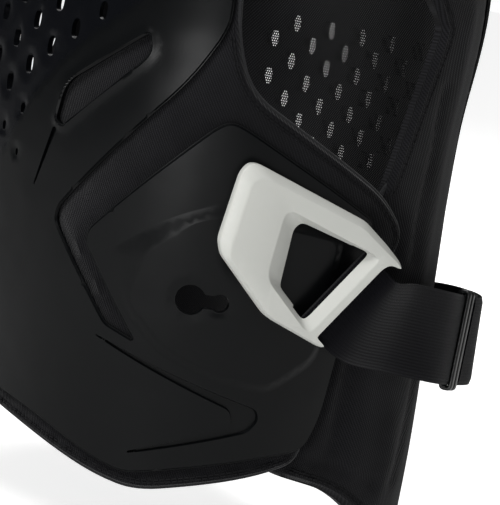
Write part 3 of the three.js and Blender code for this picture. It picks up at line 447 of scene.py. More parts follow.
def keyhole_loop(turn: float, drop: float, side: Side, pocket: bool = False, upright: bool = False) -> np.ndarray:
    """Outline of a keyhole, or of the pocket behind it.

    Args:
        turn: turn of its small end.
        drop: drop of its small end.
        side: side of the body.
        pocket: whether it is the wider pocket.
        upright: whether its big end is below.

    Returns:
        Its loop in flat millimetres.
    """
    fall = drop * BODY_HEIGHT
    mm = FORM.degrees_per_mm(turn, fall) * FLAT_SCALE
    small = KEYHOLE_BIG_RADIUS + 1 if pocket else KEYHOLE_SMALL_RADIUS
    big = KEYHOLE_BIG_RADIUS + (1 if pocket else 0)
    neck = small * 0.999 if pocket else KEYHOLE_NECK / 2
    arcs = []
    for middle, radius, first, steps in ((0.0, small, -math.pi, 14), (-KEYHOLE_SPACING, big, 0.0, 20)):
        start = math.asin(min(neck / radius, 1))
        angles = first + start + (2 * math.pi - 2 * start) * np.arange(steps + 1) / steps
        arcs.append(np.stack([middle + radius * np.cos(angles), radius * np.sin(angles)], axis=1))
    shape = np.vstack(arcs)
    if upright:
        shape = np.stack([-shape[:, 1], shape[:, 0]], axis=1)
    loop = shape * [mm, 1] + [turn * FLAT_SCALE, -fall]
    return loop if side is Side.LEFT else (loop * [-1, 1])[::-1]


def linked(name: str, data: bpy.types.ID) -> bpy.types.Object:
    """Puts a mesh, light or camera into the scene.

    Args:
        name: the object's name.
        data: what the object shows.

    Returns:
        The object.
    """
    made = bpy.data.objects.new(name, data)
    bpy.context.scene.collection.objects.link(made)
    return made


def lay_flat(mesh: bpy.types.Mesh, places: np.ndarray) -> None:
    """Writes the flat UV map that patterns follow.

    Args:
        mesh: the mesh.
        places: flat place of each vertex in metres.
    """
    layer = mesh.uv_layers.get("flat") or mesh.uv_layers.new(name="flat")
    corners = np.empty(len(mesh.loops), np.int32)
    mesh.loops.foreach_get("vertex_index", corners)
    layer.data.foreach_set("uv", np.asarray(places, np.float32)[corners].ravel())


def wrapped(rings: int, size: int, closed: bool = False, start: int = 0) -> Faces:
    """Faces between neighbouring rings of points.

    Args:
        rings: number of rings.
        size: points of each ring.
        closed: whether the last ring joins the first.
        start: number of the first point.

    Returns:
        The faces.
    """
    faces: Faces = []
    for i in range(rings if closed else rings - 1):
        a, b = start + i * size, start + (i + 1) % rings * size
        faces.extend((a + k, a + (k + 1) % size, b + (k + 1) % size, b + k) for k in range(size))
    return faces


def mesh_object(
    name: str,
    points: np.ndarray,
    faces: Sequence[Sequence[int]],
    finish: bpy.types.Material,
    uv: np.ndarray | None = None,
    mark: np.ndarray | None = None,
    sharp: float = 40.0,
) -> bpy.types.Object:
    """Makes a smooth-shaded object at the origin.

    Args:
        name: the piece's name.
        points: vertices in millimetres.
        faces: vertex numbers of each face.
        finish: the piece's material.
        uv: flat place of each vertex in metres, for patterns that follow the surface.
        mark: value of each vertex's "field" mark, which the material reads.
        sharp: angle in degrees past which an edge stays sharp.

    Returns:
        The object.
    """
    mesh = bpy.data.meshes.new(name)
    mesh.from_pydata((np.asarray(points) * MM).tolist(), [], [list(map(int, f)) for f in faces])
    mesh.validate()
    mesh.materials.append(finish)
    if uv is not None:
        lay_flat(mesh, uv)
    if mark is not None:
        attribute = mesh.attributes.new("field", "FLOAT", "POINT")
        attribute.data.foreach_set("value", mark.astype(np.float32))
    mesh.polygons.foreach_set("use_smooth", np.ones(len(mesh.polygons), bool))
    mesh.set_sharp_from_angle(angle=math.radians(sharp))
    mesh.update()
    return linked(name, mesh)


def mirrored_piece(piece: bpy.types.Object, name: str) -> bpy.types.Object:
    """A copy of a left piece on the wearer's right.

    Args:
        piece: the left piece.
        name: name of the right one.

    Returns:
        The right piece.
    """
    mesh = piece.data.copy()
    mesh.name = name
    mesh.transform(Matrix.Scale(-1, 4, (1, 0, 0)))
    mesh.flip_normals()
    return linked(name, mesh)


def baked(piece: bpy.types.Object) -> bpy.types.Object:
    """Applies a piece's modifiers to its mesh.

    Args:
        piece: the piece.

    Returns:
        The same piece with its new mesh.
    """
    graph = bpy.context.evaluated_depsgraph_get()
    mesh = bpy.data.meshes.new_from_object(piece.evaluated_get(graph))
    old = piece.data
    piece.modifiers.clear()
    piece.data = mesh
    bpy.data.meshes.remove(old)
    mesh.name = piece.name
    return piece


@dataclass
class BentSheet:
    """A sheet or moulded panel that follows the body, with rounded edges and relief.

    Args:
        name: the piece's name.
        outline: closed outline in flat millimetres.
        inner: standoff of its inner side.
        outer: standoff of its outer side.
        holes: closed loops that are cut through.
        creases: closed lines that the facets follow.
        relief: height above the outer side at flat points.
        spacing: size of the facets.
        edge: radius of the rounded edges.
        hole_edge: radius of the rounded edges of the holes.
        extra: more flat points, where the relief is steep.
        lift: how far the inner side moves outwards at flat points.
        mark: value of the "field" mark at flat points.
    """

    name: str
    outline: np.ndarray
    inner: float
    outer: float
    holes: list[np.ndarray] = field(default_factory=list)
    creases: list[np.ndarray] = field(default_factory=list)
    relief: Callable[[np.ndarray], np.ndarray] | None = None
    spacing: float = 3.6
    edge: float = 1.0
    hole_edge: float = 0.6
    extra: list[np.ndarray] = field(default_factory=list)
    lift: Callable[[np.ndarray], np.ndarray] | None = None
    mark: Callable[[np.ndarray], np.ndarray] | None = None

    def layout(self) -> tuple[np.ndarray, np.ndarray]:
        """Triangulates the flat layout.

        Returns:
            The points and the triangles.
        """
        loops = [spaced(self.outline, self.spacing)] + [np.asarray(h) for h in self.holes]
        points: list[np.ndarray] = []
        edges: list[tuple[int, int]] = []
        for loop in loops + [spaced(line, self.spacing) for line in self.creases]:
            start = len(points)
            points.extend(loop)
            edges.extend((start + i, start + (i + 1) % len(loop)) for i in range(len(loop)))
        radii = [self.edge] + [-self.hole_edge] * len(self.holes)
        free: list[np.ndarray] = []
        for loop, radius in zip(loops, radii):
            for share in (0.3, 1.0) if radius else ():
                ring = loop + inward(loop) * radius * share
                free.extend(ring[distance(ring, loop) > abs(radius) * share * 0.9])
        low, high = self.outline.min(axis=0), self.outline.max(axis=0)
        rows = np.arange(low[1], high[1], self.spacing * 0.87)
        extra = np.array([
            (x + (self.spacing / 2 if j % 2 else 0), y)
            for j, y in enumerate(rows) for x in np.arange(low[0], high[0], self.spacing)])
        extra = extra[inside(extra, self.outline)]
        for loop, radius in zip(loops, radii):
            extra = extra[distance(extra, loop, 12) > max(abs(radius) * 1.3, self.spacing * 0.35)]
        for line in self.creases:
            extra = extra[distance(extra, line, 12) > self.spacing * 0.3]
        for more in self.extra:
            extra = extra[distance(extra, more, 12, closed=False) > self.spacing * 0.25]
            free.extend(more)
        every = points + free + list(extra)
        found = delaunay_2d_cdt([Vector(p) for p in every], edges, [], 0, 1e-4, False)
        flat = np.array([(v.x, v.y) for v in found[0]])
        triangles = np.array([list(f) for f in found[2]])
        middle = flat[triangles].mean(axis=1)
        keep = inside(middle, self.outline)
        for hole in self.holes:
            keep &= ~inside(middle, hole)
        triangles = triangles[keep]
        a, b, c = (flat[triangles[:, k]] for k in range(3))
        turned = (b[:, 0] - a[:, 0]) * (c[:, 1] - a[:, 1]) - (b[:, 1] - a[:, 1]) * (c[:, 0] - a[:, 0]) < 0
        triangles[turned] = triangles[turned][:, ::-1]
        used, inverse = np.unique(triangles, return_inverse=True)
        return flat[used], inverse.reshape(triangles.shape)

    def build(self, finish: bpy.types.Material) -> bpy.types.Object:
        """Bends the layout round the body and closes it.

        Args:
            finish: the sheet's material.

        Returns:
            The sheet's object, with its flat UV map.
        """
        flat, triangles = self.layout()
        to_edge = distance(flat, self.outline, 30)
        to_hole = np.full(len(flat), 30.0)
        for hole in self.holes:
            to_hole = np.minimum(to_hole, distance(flat, hole, 6))
        drop = np.maximum(round_over(to_edge, self.edge), round_over(to_hole, self.hole_edge))
        height = self.relief(flat) if self.relief else np.zeros(len(flat))
        turn, fall = flat[:, 0] / FLAT_SCALE, -flat[:, 1]
        over = FORM.point(turn, fall, self.outer + height - drop)
        lift = self.lift(flat) if self.lift else np.zeros(len(flat))
        under = FORM.point(turn, fall, self.inner + lift + drop * 0.6)
        count = len(flat)
        edges = np.vstack([triangles[:, [0, 1]], triangles[:, [1, 2]], triangles[:, [2, 0]]])
        known = {(int(a), int(b)) for a, b in edges}
        walls = [(a, a + count, b + count, b) for a, b in known if (b, a) not in known]
        faces = [tuple(t) for t in triangles] + [tuple(t[::-1] + count) for t in triangles] + walls
        uv = np.vstack([flat, flat]) * MM
        mark = np.tile(self.mark(flat), 2) if self.mark else None
        return mesh_object(self.name, np.vstack([over, under]), faces, finish, uv, mark)


def round_over(gap: np.ndarray, radius: float) -> np.ndarray:
    """How far a rounded edge of a radius falls at a distance from the edge.

    Args:
        gap: distances from the edge.
        radius: radius of the edge.

    Returns:
        The fall at each distance.
    """
    if radius == 0:
        return np.zeros(len(gap))
    near = np.clip(gap, 0, radius)
    return radius - np.sqrt(np.maximum(radius**2 - (radius - near) ** 2, 0))


def linear(code: str) -> tuple[float, float, float, float]:
    """An sRGB hex colour as linear values."""
    parts = [int(code[i : i + 2], 16) / 255 for i in (1, 3, 5)]
    return *(p / 12.92 if p <= 0.04045 else ((p + 0.055) / 1.055) ** 2.4 for p in parts), 1.0


def node(tree: bpy.types.NodeTree, kind: str, inputs: dict | None = None, **settings: object) -> bpy.types.Node:
    """Adds a node.

    Args:
        tree: node tree.
        kind: type of the node.
        inputs: values or output sockets, by the input's name or number.
        settings: the node's own properties.

    Returns:
        The node.
    """
    made = tree.nodes.new(kind)
    for key, value in settings.items():
        setattr(made, key, value)
    for key, value in (inputs or {}).items():
        if isinstance(value, bpy.types.NodeSocket):
            tree.links.new(value, made.inputs[key])
        else:
            made.inputs[key].default_value = value
    return made


@dataclass(frozen=True)
class Finish:
    """A plain finish: colour, gloss and a fine grain.

    Args:
        name: name of the real material.
        colour: sRGB hex colour.
        roughness: roughness of the surface.
        gloss: strength of its reflections.
        grain: size of the grain in millimetres.
        grain_depth: depth of the grain in millimetres.
        wave_depth: depth of the slow unevenness from moulding in millimetres.
        field_colour: colour where the "field" mark is 1.
        field_roughness: roughness where the "field" mark is 1.
    """

    name: str
    colour: str
    roughness: float
    gloss: float = 0.5
    grain: float = 0.7
    grain_depth: float = 0.02
    wave_depth: float = 0.12
    field_colour: str | None = None
    field_roughness: float | None = None

    def start(self) -> tuple[bpy.types.Material, bpy.types.NodeTree, bpy.types.Node]:
        """Makes an empty material with its shader.

        Returns:
            The material, its tree and its shader node.
        """
        material = bpy.data.materials.new(self.name)
        material.use_nodes = True
        tree = material.node_tree
        tree.nodes.clear()
        shader = node(tree, "ShaderNodeBsdfPrincipled", {"Base Color": linear(self.colour)})
        shader.inputs["Roughness"].default_value = self.roughness
        shader.inputs["Specular IOR Level"].default_value = self.gloss
        node(tree, "ShaderNodeOutputMaterial", {"Surface": shader.outputs["BSDF"]})
        return material, tree, shader

    def build(self) -> bpy.types.Material:
        """Makes the material.

        Returns:
            The material.
        """
        material, tree, shader = self.start()
        place = node(tree, "ShaderNodeTexCoord").outputs["Object"]
        grain = node(tree, "ShaderNodeTexNoise", {"Vector": place, "Scale": 1000 / self.grain, "Detail": 2.0})
        wave = node(tree, "ShaderNodeTexNoise", {"Vector": place, "Scale": 34.0, "Detail": 1.0})
        # The wave's bump is drawn eight times as deep as it is, so that it shows in broad reflections
        slow = node(tree, "ShaderNodeBump", {
            "Height": wave.outputs[0], "Distance": self.wave_depth * MM * 8, "Strength": 1.0})
        fine = node(tree, "ShaderNodeBump", {
            "Height": grain.outputs[0], "Distance": self.grain_depth * MM, "Strength": 1.0,
            "Normal": slow.outputs[0]})
        tree.links.new(fine.outputs[0], shader.inputs["Normal"])
        rough = node(tree, "ShaderNodeMapRange", {
            "Value": wave.outputs[0], "From Min": 0.3, "From Max": 0.7,
            "To Min": self.roughness * 0.92, "To Max": min(self.roughness * 1.1, 1.0)})
        if self.field_colour:
            mark = node(tree, "ShaderNodeAttribute", attribute_name="field").outputs["Fac"]
            mix = node(tree, "ShaderNodeMix", {
                "Factor": mark, 6: linear(self.colour), 7: linear(self.field_colour)}, data_type="RGBA")
            tree.links.new(mix.outputs[2], shader.inputs["Base Color"])
            gloss = node(tree, "ShaderNodeMix", {
                0: mark, 2: rough.outputs[0], 3: self.field_roughness}, data_type="FLOAT")
            tree.links.new(gloss.outputs[0], shader.inputs["Roughness"])
        else:
            tree.links.new(rough.outputs[0], shader.inputs["Roughness"])
        return material


@dataclass(frozen=True)
class Weave(Finish):
    """A fabric whose yarns follow the piece's flat UV map.

    Args:
        rib: distance between the ribs in millimetres.
        cross: distance between the crossing yarns in millimetres.
        lean: angle of the ribs in degrees from the UV map's first axis.
        depth: depth of the ribs in millimetres.
        high_colour: colour of the painted highlight on top of the yarns.
    """

    rib: float = 1.4
    cross: float = 0.9
    lean: float = 90.0
    depth: float = 0.25
    high_colour: str = "#2a2a2d"

    def build(self) -> bpy.types.Material:
        """Makes the material.

        Returns:
            The material.
        """
        material, tree, shader = self.start()
        place = node(tree, "ShaderNodeUVMap", uv_map="flat").outputs["UV"]
        waves = []
        for pitch, angle in ((self.rib, self.lean), (self.cross, self.lean + 90)):
            turn = math.radians(angle)
            pull = 2 * math.pi / (pitch * MM)
            along = node(tree, "ShaderNodeVectorMath", {
                0: place, 1: (math.sin(turn) * pull, math.cos(turn) * pull, 0.0)}, operation="DOT_PRODUCT")
            wave = node(tree, "ShaderNodeMath", {0: along.outputs["Value"]}, operation="COSINE")
            waves.append(wave.outputs[0])
        both = node(tree, "ShaderNodeMath", {0: waves[1], 1: 0.45, 2: waves[0]}, operation="MULTIPLY_ADD")
        height = node(tree, "ShaderNodeMapRange", {"Value": both.outputs[0], "From Min": -1.45, "From Max": 1.45})
        solid = node(tree, "ShaderNodeTexCoord").outputs["Object"]
        fuzz = node(tree, "ShaderNodeTexNoise", {"Vector": solid, "Scale": 900.0, "Detail": 3.0})
        # Soft noise patches that vary the strength of the painted highlight
        highlight_patches = node(tree, "ShaderNodeTexNoise", {"Vector": solid, "Scale": 22.0, "Detail": 3.0})
        rough_top = node(tree, "ShaderNodeMath", {
            0: fuzz.outputs[0], 1: 0.5, 2: height.outputs[0]}, operation="MULTIPLY_ADD")
        bump = node(tree, "ShaderNodeBump", {
            "Height": rough_top.outputs[0], "Distance": self.depth * MM, "Strength": 1.0})
        tree.links.new(bump.outputs[0], shader.inputs["Normal"])
        # Painted highlight: the raised yarn tops are lightened towards the highlight colour, in soft patches
        lit = node(tree, "ShaderNodeMath", {0: height.outputs[0], 1: highlight_patches.outputs[0]}, operation="MULTIPLY")
        mix = node(tree, "ShaderNodeMix", {
            "Factor": lit.outputs[0], 6: linear(self.colour), 7: linear(self.high_colour)}, data_type="RGBA")
        tree.links.new(mix.outputs[2], shader.inputs["Base Color"])
        shader.inputs["Sheen Weight"].default_value = 0.12
        shader.inputs["Sheen Roughness"].default_value = 0.5
        return material


# Moulded polypropylene: soft broad reflections on near black, smoother over the perforated field
SHELL_PLASTIC = Finish(
    "moulded_polypropylene", "#060708", 0.32, 0.12, grain=0.9, grain_depth=0.03, wave_depth=0.1,
    field_colour="#07080b", field_roughness=0.26)
# Knitted polyester: dull black with fine slanted ribs
LINER_KNIT = Weave(
    "knitted_polyester", "#040405", 0.95, 0.05, rib=1.2, cross=1.0, lean=62.0, depth=0.25, high_colour="#242427")
# Spacer mesh: dull black with a painted highlight on the yarns round a lattice of small dark cells
SPACER_KNIT = Weave(
    "spacer_mesh", "#040405", 0.95, 0.1, rib=1.6, cross=1.6, lean=45.0, depth=0.5, high_colour="#232326")
# Nylon webbing: blue-black with lengthwise ribs and a tight crossing weft
WEBBING = Weave(
    "nylon_webbing", "#030306", 0.85, 0.04, rib=1.7, cross=0.8, lean=0.0, depth=0.2, high_colour="#0a0a10")
# Polyester binding tape and thread: a little lighter and smoother than the knit; the lighter colour is partly the
# tape's own tone and partly a painted highlight along the piping
BINDING = Weave("polyester_binding", "#0a0a0c", 0.7, 0.2, rib=0.9, cross=0.7, depth=0.12, high_colour="#26272a")
# Satin nylon: warm off-white that stays soft in the highlights
HOOK_NYLON = Finish("satin_nylon", "#b9bab5", 0.42, 0.4, grain=0.6, grain_depth=0.012, wave_depth=0.05)
# Acetal: dark grey with a clear highlight along each bar
SLIDER_ACETAL = Finish("acetal", "#0a0b0c", 0.3, 0.35, grain=0.5, grain_depth=0.01, wave_depth=0.03)
# Lacquered steel: near black cap with a small highlight
SNAP_STEEL = Finish("lacquered_steel", "#0c0d0e", 0.32, grain=0.5, grain_depth=0.008, wave_depth=0.02)
# Polyester thread: short stitches that catch the light against the knit
THREAD = Finish("polyester_thread", "#0c0c0e", 0.7, 0.15, grain=0.3, grain_depth=0.03, wave_depth=0.0)
# Studio paper: matte and almost white
PAPER = Finish("studio_paper", "#f4f4f3", 0.9, grain=2.0, grain_depth=0.01, wave_depth=0.0)


@dataclass
class StitchRow:
    """Row of stitches along lines, made with geometry nodes.

    Args:
        pitch: distance between stitches in millimetres.
        length: length of a stitch in millimetres.
        radius: radius of the thread in millimetres.
        seed: seed of the small differences in size.
    """

    pitch: float = 3.2
    length: float = 2.3
    radius: float = 0.42
    seed: int = 3

    def group(self) -> bpy.types.NodeTree:
        """Builds the node group.

        Returns:
            The group, with inputs named Pitch, Length, Radius, Seed and Thread.
        """
        tree = bpy.data.node_groups.new("stitch_row", "GeometryNodeTree")
        face = tree.interface
        inputs = {
            "Geometry": "Geometry", "Pitch": "Float", "Length": "Float", "Radius": "Float", "Seed": "Int",
            "Thread": "Material"}
        for name, kind in inputs.items():
            face.new_socket(name, in_out="INPUT", socket_type=f"NodeSocket{kind}")
        face.new_socket("Geometry", in_out="OUTPUT", socket_type="NodeSocketGeometry")
        given = node(tree, "NodeGroupInput").outputs
        lines = node(tree, "GeometryNodeMeshToCurve", {"Mesh": given["Geometry"]})
        even = node(tree, "GeometryNodeResampleCurve", {
            "Curve": lines.outputs[0], "Length": given["Pitch"]}, mode="LENGTH")
        core = node(tree, "GeometryNodeCurvePrimitiveLine")
        for key, share in (("Start", -0.5), ("End", 0.5)):
            height = node(tree, "ShaderNodeMath", {0: given["Length"], 1: share}, operation="MULTIPLY").outputs[0]
            tree.links.new(node(tree, "ShaderNodeCombineXYZ", {"Z": height}).outputs[0], core.inputs[key])
        fine = node(tree, "GeometryNodeResampleCurve", {"Curve": core.outputs[0], "Count": 5}, mode="COUNT")
        share = node(tree, "GeometryNodeSplineParameter").outputs["Factor"]
        arc = node(tree, "ShaderNodeMath", {
            0: share, 1: math.pi * 0.8, 2: 0.1 * math.pi}, operation="MULTIPLY_ADD")
        thick = node(tree, "ShaderNodeMath", {0: arc.outputs[0]}, operation="SINE").outputs[0]
        shaped = node(tree, "GeometryNodeSetCurveRadius", {"Curve": fine.outputs[0], "Radius": thick})
        ring = node(tree, "GeometryNodeCurvePrimitiveCircle", {"Resolution": 6, "Radius": given["Radius"]})
        stitch = node(tree, "GeometryNodeCurveToMesh", {
            "Curve": shaped.outputs[0], "Profile Curve": ring.outputs[0], "Fill Caps": True})
        way = node(tree, "GeometryNodeInputTangent").outputs[0]
        facing = node(tree, "FunctionNodeAlignRotationToVector", {"Vector": way}, axis="Z").outputs[0]
        size = node(tree, "FunctionNodeRandomValue", {2: 0.85, 3: 1.12, "Seed": given["Seed"]}, data_type="FLOAT")
        laid = node(tree, "GeometryNodeInstanceOnPoints", {
            "Points": even.outputs[0], "Instance": stitch.outputs[0], "Rotation": facing,
            "Scale": size.outputs[1]})
        real = node(tree, "GeometryNodeRealizeInstances", {"Geometry": laid.outputs[0]})
        soft = node(tree, "GeometryNodeSetShadeSmooth", {"Geometry": real.outputs[0]})
        done = node(tree, "GeometryNodeSetMaterial", {"Geometry": soft.outputs[0], "Material": given["Thread"]})
        node(tree, "NodeGroupOutput", {0: done.outputs[0]})
        return tree

    def build(self, name: str, lines: Sequence[np.ndarray], thread: bpy.types.Material) -> bpy.types.Object:
        """Lays stitches along lines.

        Args:
            name: the piece's name.
            lines: points of each line in millimetres.
            thread: material of the stitches.

        Returns:
            The stitches as a plain mesh.
        """
        points, edges = [], []
        for line in lines:
            edges.extend((len(points) + i, len(points) + i + 1) for i in range(len(line) - 1))
            points.extend((np.asarray(line) * MM).tolist())
        mesh = bpy.data.meshes.new(name)
        mesh.from_pydata(points, edges, [])
        piece = linked(name, mesh)
        modifier = piece.modifiers.new("stitches", "NODES")
        modifier.node_group = self.group()
        values = {
            "Pitch": self.pitch * MM, "Length": self.length * MM, "Radius": self.radius * MM,
            "Seed": self.seed, "Thread": thread}
        for socket in modifier.node_group.interface.items_tree:
            if socket.item_type == "SOCKET" and socket.in_out == "INPUT" and socket.name in values:
                modifier[socket.identifier] = values[socket.name]
        bpy.context.view_layer.update()
        return baked(piece)


def swept(path: np.ndarray, ups: np.ndarray, section: np.ndarray, closed: bool) -> tuple[np.ndarray, Faces]:
    """Sweeps a closed section along a path.

    Args:
        path: points of the path in millimetres.
        ups: the section's second axis at each point.
        section: closed section, as (across, up) in millimetres.
        closed: whether the path is closed.

    Returns:
        The points and the faces.
    """
    if closed:
        way = np.roll(path, -1, axis=0) - np.roll(path, 1, axis=0)
    else:
        way = np.gradient(path, axis=0)
    way /= np.linalg.norm(way, axis=1)[:, None]
    across = np.cross(way, ups)
    across /= np.linalg.norm(across, axis=1)[:, None]
    up = np.cross(across, way)
    rings = path[:, None] + across[:, None] * section[None, :, :1] + up[:, None] * section[None, :, 1:]
    count, size = len(path), len(section)
    faces = wrapped(count, size, closed)
    if not closed:
        faces.append(tuple(range(size))[::-1])
        faces.append(tuple((count - 1) * size + k for k in range(size)))
    return rings.reshape(-1, 3), faces


def round_section(width: float, height: float, corners: int = 16, power: float = 0.5) -> np.ndarray:
    """Closed rounded section of a bar, piping or thread.

    Args:
        width: its width.
        height: its height.
        corners: number of its corners.
        power: 1 for an ellipse, less for a squarer section.

    Returns:
        Its points in millimetres.
    """
    angles = 2 * np.pi * np.arange(corners) / corners
    circle = np.stack([np.cos(angles), np.sin(angles)], axis=1)
    return np.sign(circle) * np.abs(circle) ** power * [width / 2, height / 2]


def tidy_normals(piece: bpy.types.Object) -> bpy.types.Object:
    """Turns all faces of a closed mesh outwards.

    Args:
        piece: the piece.

    Returns:
        The same piece.
    """
    work = bmesh.new()
    work.from_mesh(piece.data)
    bmesh.ops.recalc_face_normals(work, faces=work.faces)
    work.to_mesh(piece.data)
    work.free()
    piece.data.update()
    return piece


def joined(parts: Sequence[tuple[np.ndarray, Faces]]) -> tuple[np.ndarray, Faces]:
    """Several meshes as one.

    Args:
        parts: points and faces of each.

    Returns:
        The points and faces of all.
    """
    points, faces, start = [], [], 0
    for part, part_faces in parts:
        points.append(part)
        faces.extend(tuple(int(i) + start for i in f) for f in part_faces)
        start += len(part)
    return np.vstack(points), faces


@dataclass
class Piping:
    """Rounded binding along a liner's edge."""

    radius: float = 1.3

    def build(self, name: str, line: np.ndarray, standoff: float, finish: bpy.types.Material) -> bpy.types.Object:
        """Runs the binding along a closed flat line.

        Args:
            name: the piece's name.
            line: flat line in millimetres.
            standoff: standoff of its middle.
            finish: its material.

        Returns:
            The binding.
        """
        line = spaced(line, 4.0)
        path = on_body(line, standoff)
        up = on_body(line, standoff + 5) - path
        points, faces = swept(path, up, round_section(self.radius * 2, self.radius * 2, 10, 1.0), True)
        count = len(points) // len(path)
        gaps = np.linalg.norm(np.diff(path, axis=0), axis=1)
        along = np.concatenate([[0], np.cumsum(gaps)])
        uv = np.stack([np.repeat(along, count), np.tile(np.arange(count) * 0.8, len(path))], axis=1) * MM
        return tidy_normals(mesh_object(name, points, faces, finish, uv))


def offset_line(loop: np.ndarray, inset: float, step: float = 4.0) -> np.ndarray:
    """A closed loop moved inwards, with points a step apart.

    Args:
        loop: the loop.
        inset: way inwards, or outwards if negative.
        step: longest edge.

    Returns:
        The points of the new loop.
    """
    loop = spaced(loop, step)
    moved = loop + inward(loop) * inset
    return moved[distance(moved, loop) > abs(inset) * 0.85]


def on_body(line: np.ndarray, standoff: np.ndarray | float) -> np.ndarray:
    """A flat line as points on the body."""
    return FORM.point(line[:, 0] / FLAT_SCALE, -line[:, 1], standoff)


def kept_runs(line: np.ndarray, keep: np.ndarray, least: int = 4) -> list[np.ndarray]:
    """The runs of a closed line whose points are kept.

    Args:
        line: points of the line.
        keep: whether each point is kept.
        least: fewest points of a run.

    Returns:
        The points of each run.
    """
    if keep.all():
        return [np.vstack([line, line[:1]])]
    start = int(np.argmin(keep))
    line, keep = np.roll(line, -start, axis=0), np.roll(keep, -start)
    ends = np.flatnonzero(keep[1:] != keep[:-1]) + 1
    return [run for run, kept in zip(np.split(line, ends), np.split(keep, ends)) if kept[0] and len(run) >= least]


# Whole outlines in flat millimetres
FRONT_SHELL_LOOP, FRONT_LINER_LOOP, FRONT_WINDOW_LOOP = (
    mirrored_outline(rows, 0) for rows in (FRONT_SHELL, FRONT_LINER, FRONT_WINDOW))
BACK_SHELL_LOOP, BACK_LINER_LOOP, BACK_WINDOW_LOOP = (
    mirrored_outline(rows, 180) for rows in (BACK_SHELL, BACK_LINER, BACK_WINDOW))


@dataclass
class FrontShell:
    """Moulded chest shell with its flank plates.

    Args:
        plateau_rise: height of the flank plates' plateaus.
        groove_depth: depth of the grooves.
        vent_rim: height of the raised rim round each vent.
        field_sink: how far the perforated field lies below the rest.
        field_backing: how much thicker it is on the inside.
        spacing: size of the facets.
        stud: turn and drop of the keyhole that the hook's stud goes through.
    """

    plateau_rise: float = 2.0
    groove_depth: float = 1.9
    vent_rim: float = 0.7
    field_sink: float = 0.9
    field_backing: float = 3.0
    spacing: float = 3.2
    stud: tuple[float, float] = (0.0, 0.0)

    FIELD = [
        (0, 0.29, 0), (18, 0.268, 14), (30, 0.212, 14), (36, 0.15, 6), (45, 0.15, 6), (47.5, 0.22, 10),
        (47.5, 0.30, 8), (39.4, 0.338, 2), (30.0, 0.383, 6), (23.2, 0.423, 6), (14, 0.485, 14), (7, 0.56, 10),
        (0, 0.585, 0),
    ]

    def relief(self, flat: np.ndarray) -> np.ndarray:
        """Height of the shell's relief at flat points.

        Args:
            flat: flat points in millimetres.

        Returns:
            The height at each point.
        """
        p = np.stack([np.abs(flat[:, 0]), flat[:, 1]], axis=1)
        foot, top = (rounded(flat_rows(rows), True) for rows in (PLATEAU_FOOT, PLATEAU_TOP))
        to_foot, to_top = distance(p, foot, 60), distance(p, top, 60)
        slope = np.where(inside(p, top), 1.0, np.where(inside(p, foot), to_foot / (to_foot + to_top), 0.0))
        height = self.plateau_rise * slope
        for rows in (VENT_TAIL, CHEVRON):
            height -= self.groove_depth * within(p, side_outline(rows, Side.LEFT), 0.0, 0.4)
        vent = side_outline(VENT, Side.LEFT)
        off_vent = np.where(inside(p, vent), 0.0, distance(p, vent, 12))
        height += self.vent_rim * (1 - smooth(off_vent, 0.9, 3.8))
        height -= self.field_sink * self.field(flat)
        return height

    def backing(self, flat: np.ndarray) -> np.ndarray:
        """The perforated field is thicker on the inside, within the liner's window."""
        return -self.field_backing * within(flat, FRONT_WINDOW_LOOP, 0.8, 2.5)

    def field(self, flat: np.ndarray) -> np.ndarray:
        """1 in the perforated field, 0 outside it."""
        return within(flat, mirrored_outline(self.FIELD, 0), 0.0, 2.2)

    def build(self, finish: bpy.types.Material) -> bpy.types.Object:
        """Makes the shell.

        Args:
            finish: its material.

        Returns:
            The piece.
        """
        holes, creases, extra = [], [mirrored_outline(self.FIELD, 0)], []
        for side in Side:
            vent = side_outline(VENT, side)
            holes += [vent, keyhole_loop(*KEYHOLE, side), keyhole_loop(*self.stud, side, upright=True)]
            for rows in (PLATEAU_FOOT, PLATEAU_TOP):
                creases.append(side_outline(rows, side))
                extra += [offset_line(creases[-1], inset, 2.4) for inset in (0.7, -0.7)]
            for rows in (VENT_TAIL, CHEVRON):
                loop = spaced(side_outline(rows, side), 1.4)
                creases.append(loop)
                extra += [offset_line(loop, inset, 1.4) for inset in (0.5, 1.1, -0.7)]
            for line in GROOVE_LINES:
                extra.append(spaced(flat_line(line) * [side.value, 1], 1.2, closed=False))
            extra += [offset_line(vent, inset, 1.6) for inset in (-1.2, -2.4, -3.8)]
        holes += [hole_loop(*place) for place in hole_places(FRONT_HOLES, 0)]
        sheet = BentSheet(
            "front_shell_moulding", FRONT_SHELL_LOOP, SHELL_INNER, SHELL_OUTER, holes, creases, self.relief,
            self.spacing, 1.2, 0.7, extra, self.backing, self.field)
        return sheet.build(finish)


@dataclass
class FrontLiner:
    """Padded liner behind the front shell, swollen where the shell doesn't hold it down.

    Args:
        puff: how far the border swells.
        stud: turn and drop of the keyhole that the hook's stud goes through.
    """

    puff: float = 2.0
    stud: tuple[float, float] = (0.0, 0.0)

    def relief(self, flat: np.ndarray) -> np.ndarray:
        """Height of the liner's swelling at flat points."""
        free = np.where(inside(flat, FRONT_SHELL_LOOP), 0.0, distance(flat, FRONT_SHELL_LOOP, 12))
        return self.puff * smooth(free, 0.6, 5.5)

    def sewn(self, flat: np.ndarray) -> np.ndarray:
        """Where the border's seams show beside the shell."""
        return ~inside(flat, FRONT_SHELL_LOOP) & (distance(flat, FRONT_SHELL_LOOP, 10) > 1.2)

    def build(self, finish: bpy.types.Material) -> bpy.types.Object:
        """Makes the liner.

        Args:
            finish: its material.

        Returns:
            The piece.
        """
        holes = [FRONT_WINDOW_LOOP]
        for side in Side:
            holes.append(keyhole_loop(*KEYHOLE, side, pocket=True))
            holes.append(keyhole_loop(*self.stud, side, pocket=True, upright=True))
        sheet = BentSheet(
            "front_liner_pad", FRONT_LINER_LOOP, LINER_INNER, LINER_OUTER, holes, [FRONT_SHELL_LOOP], self.relief,
            4.2, 2.6, 0.5)
        return sheet.build(finish)


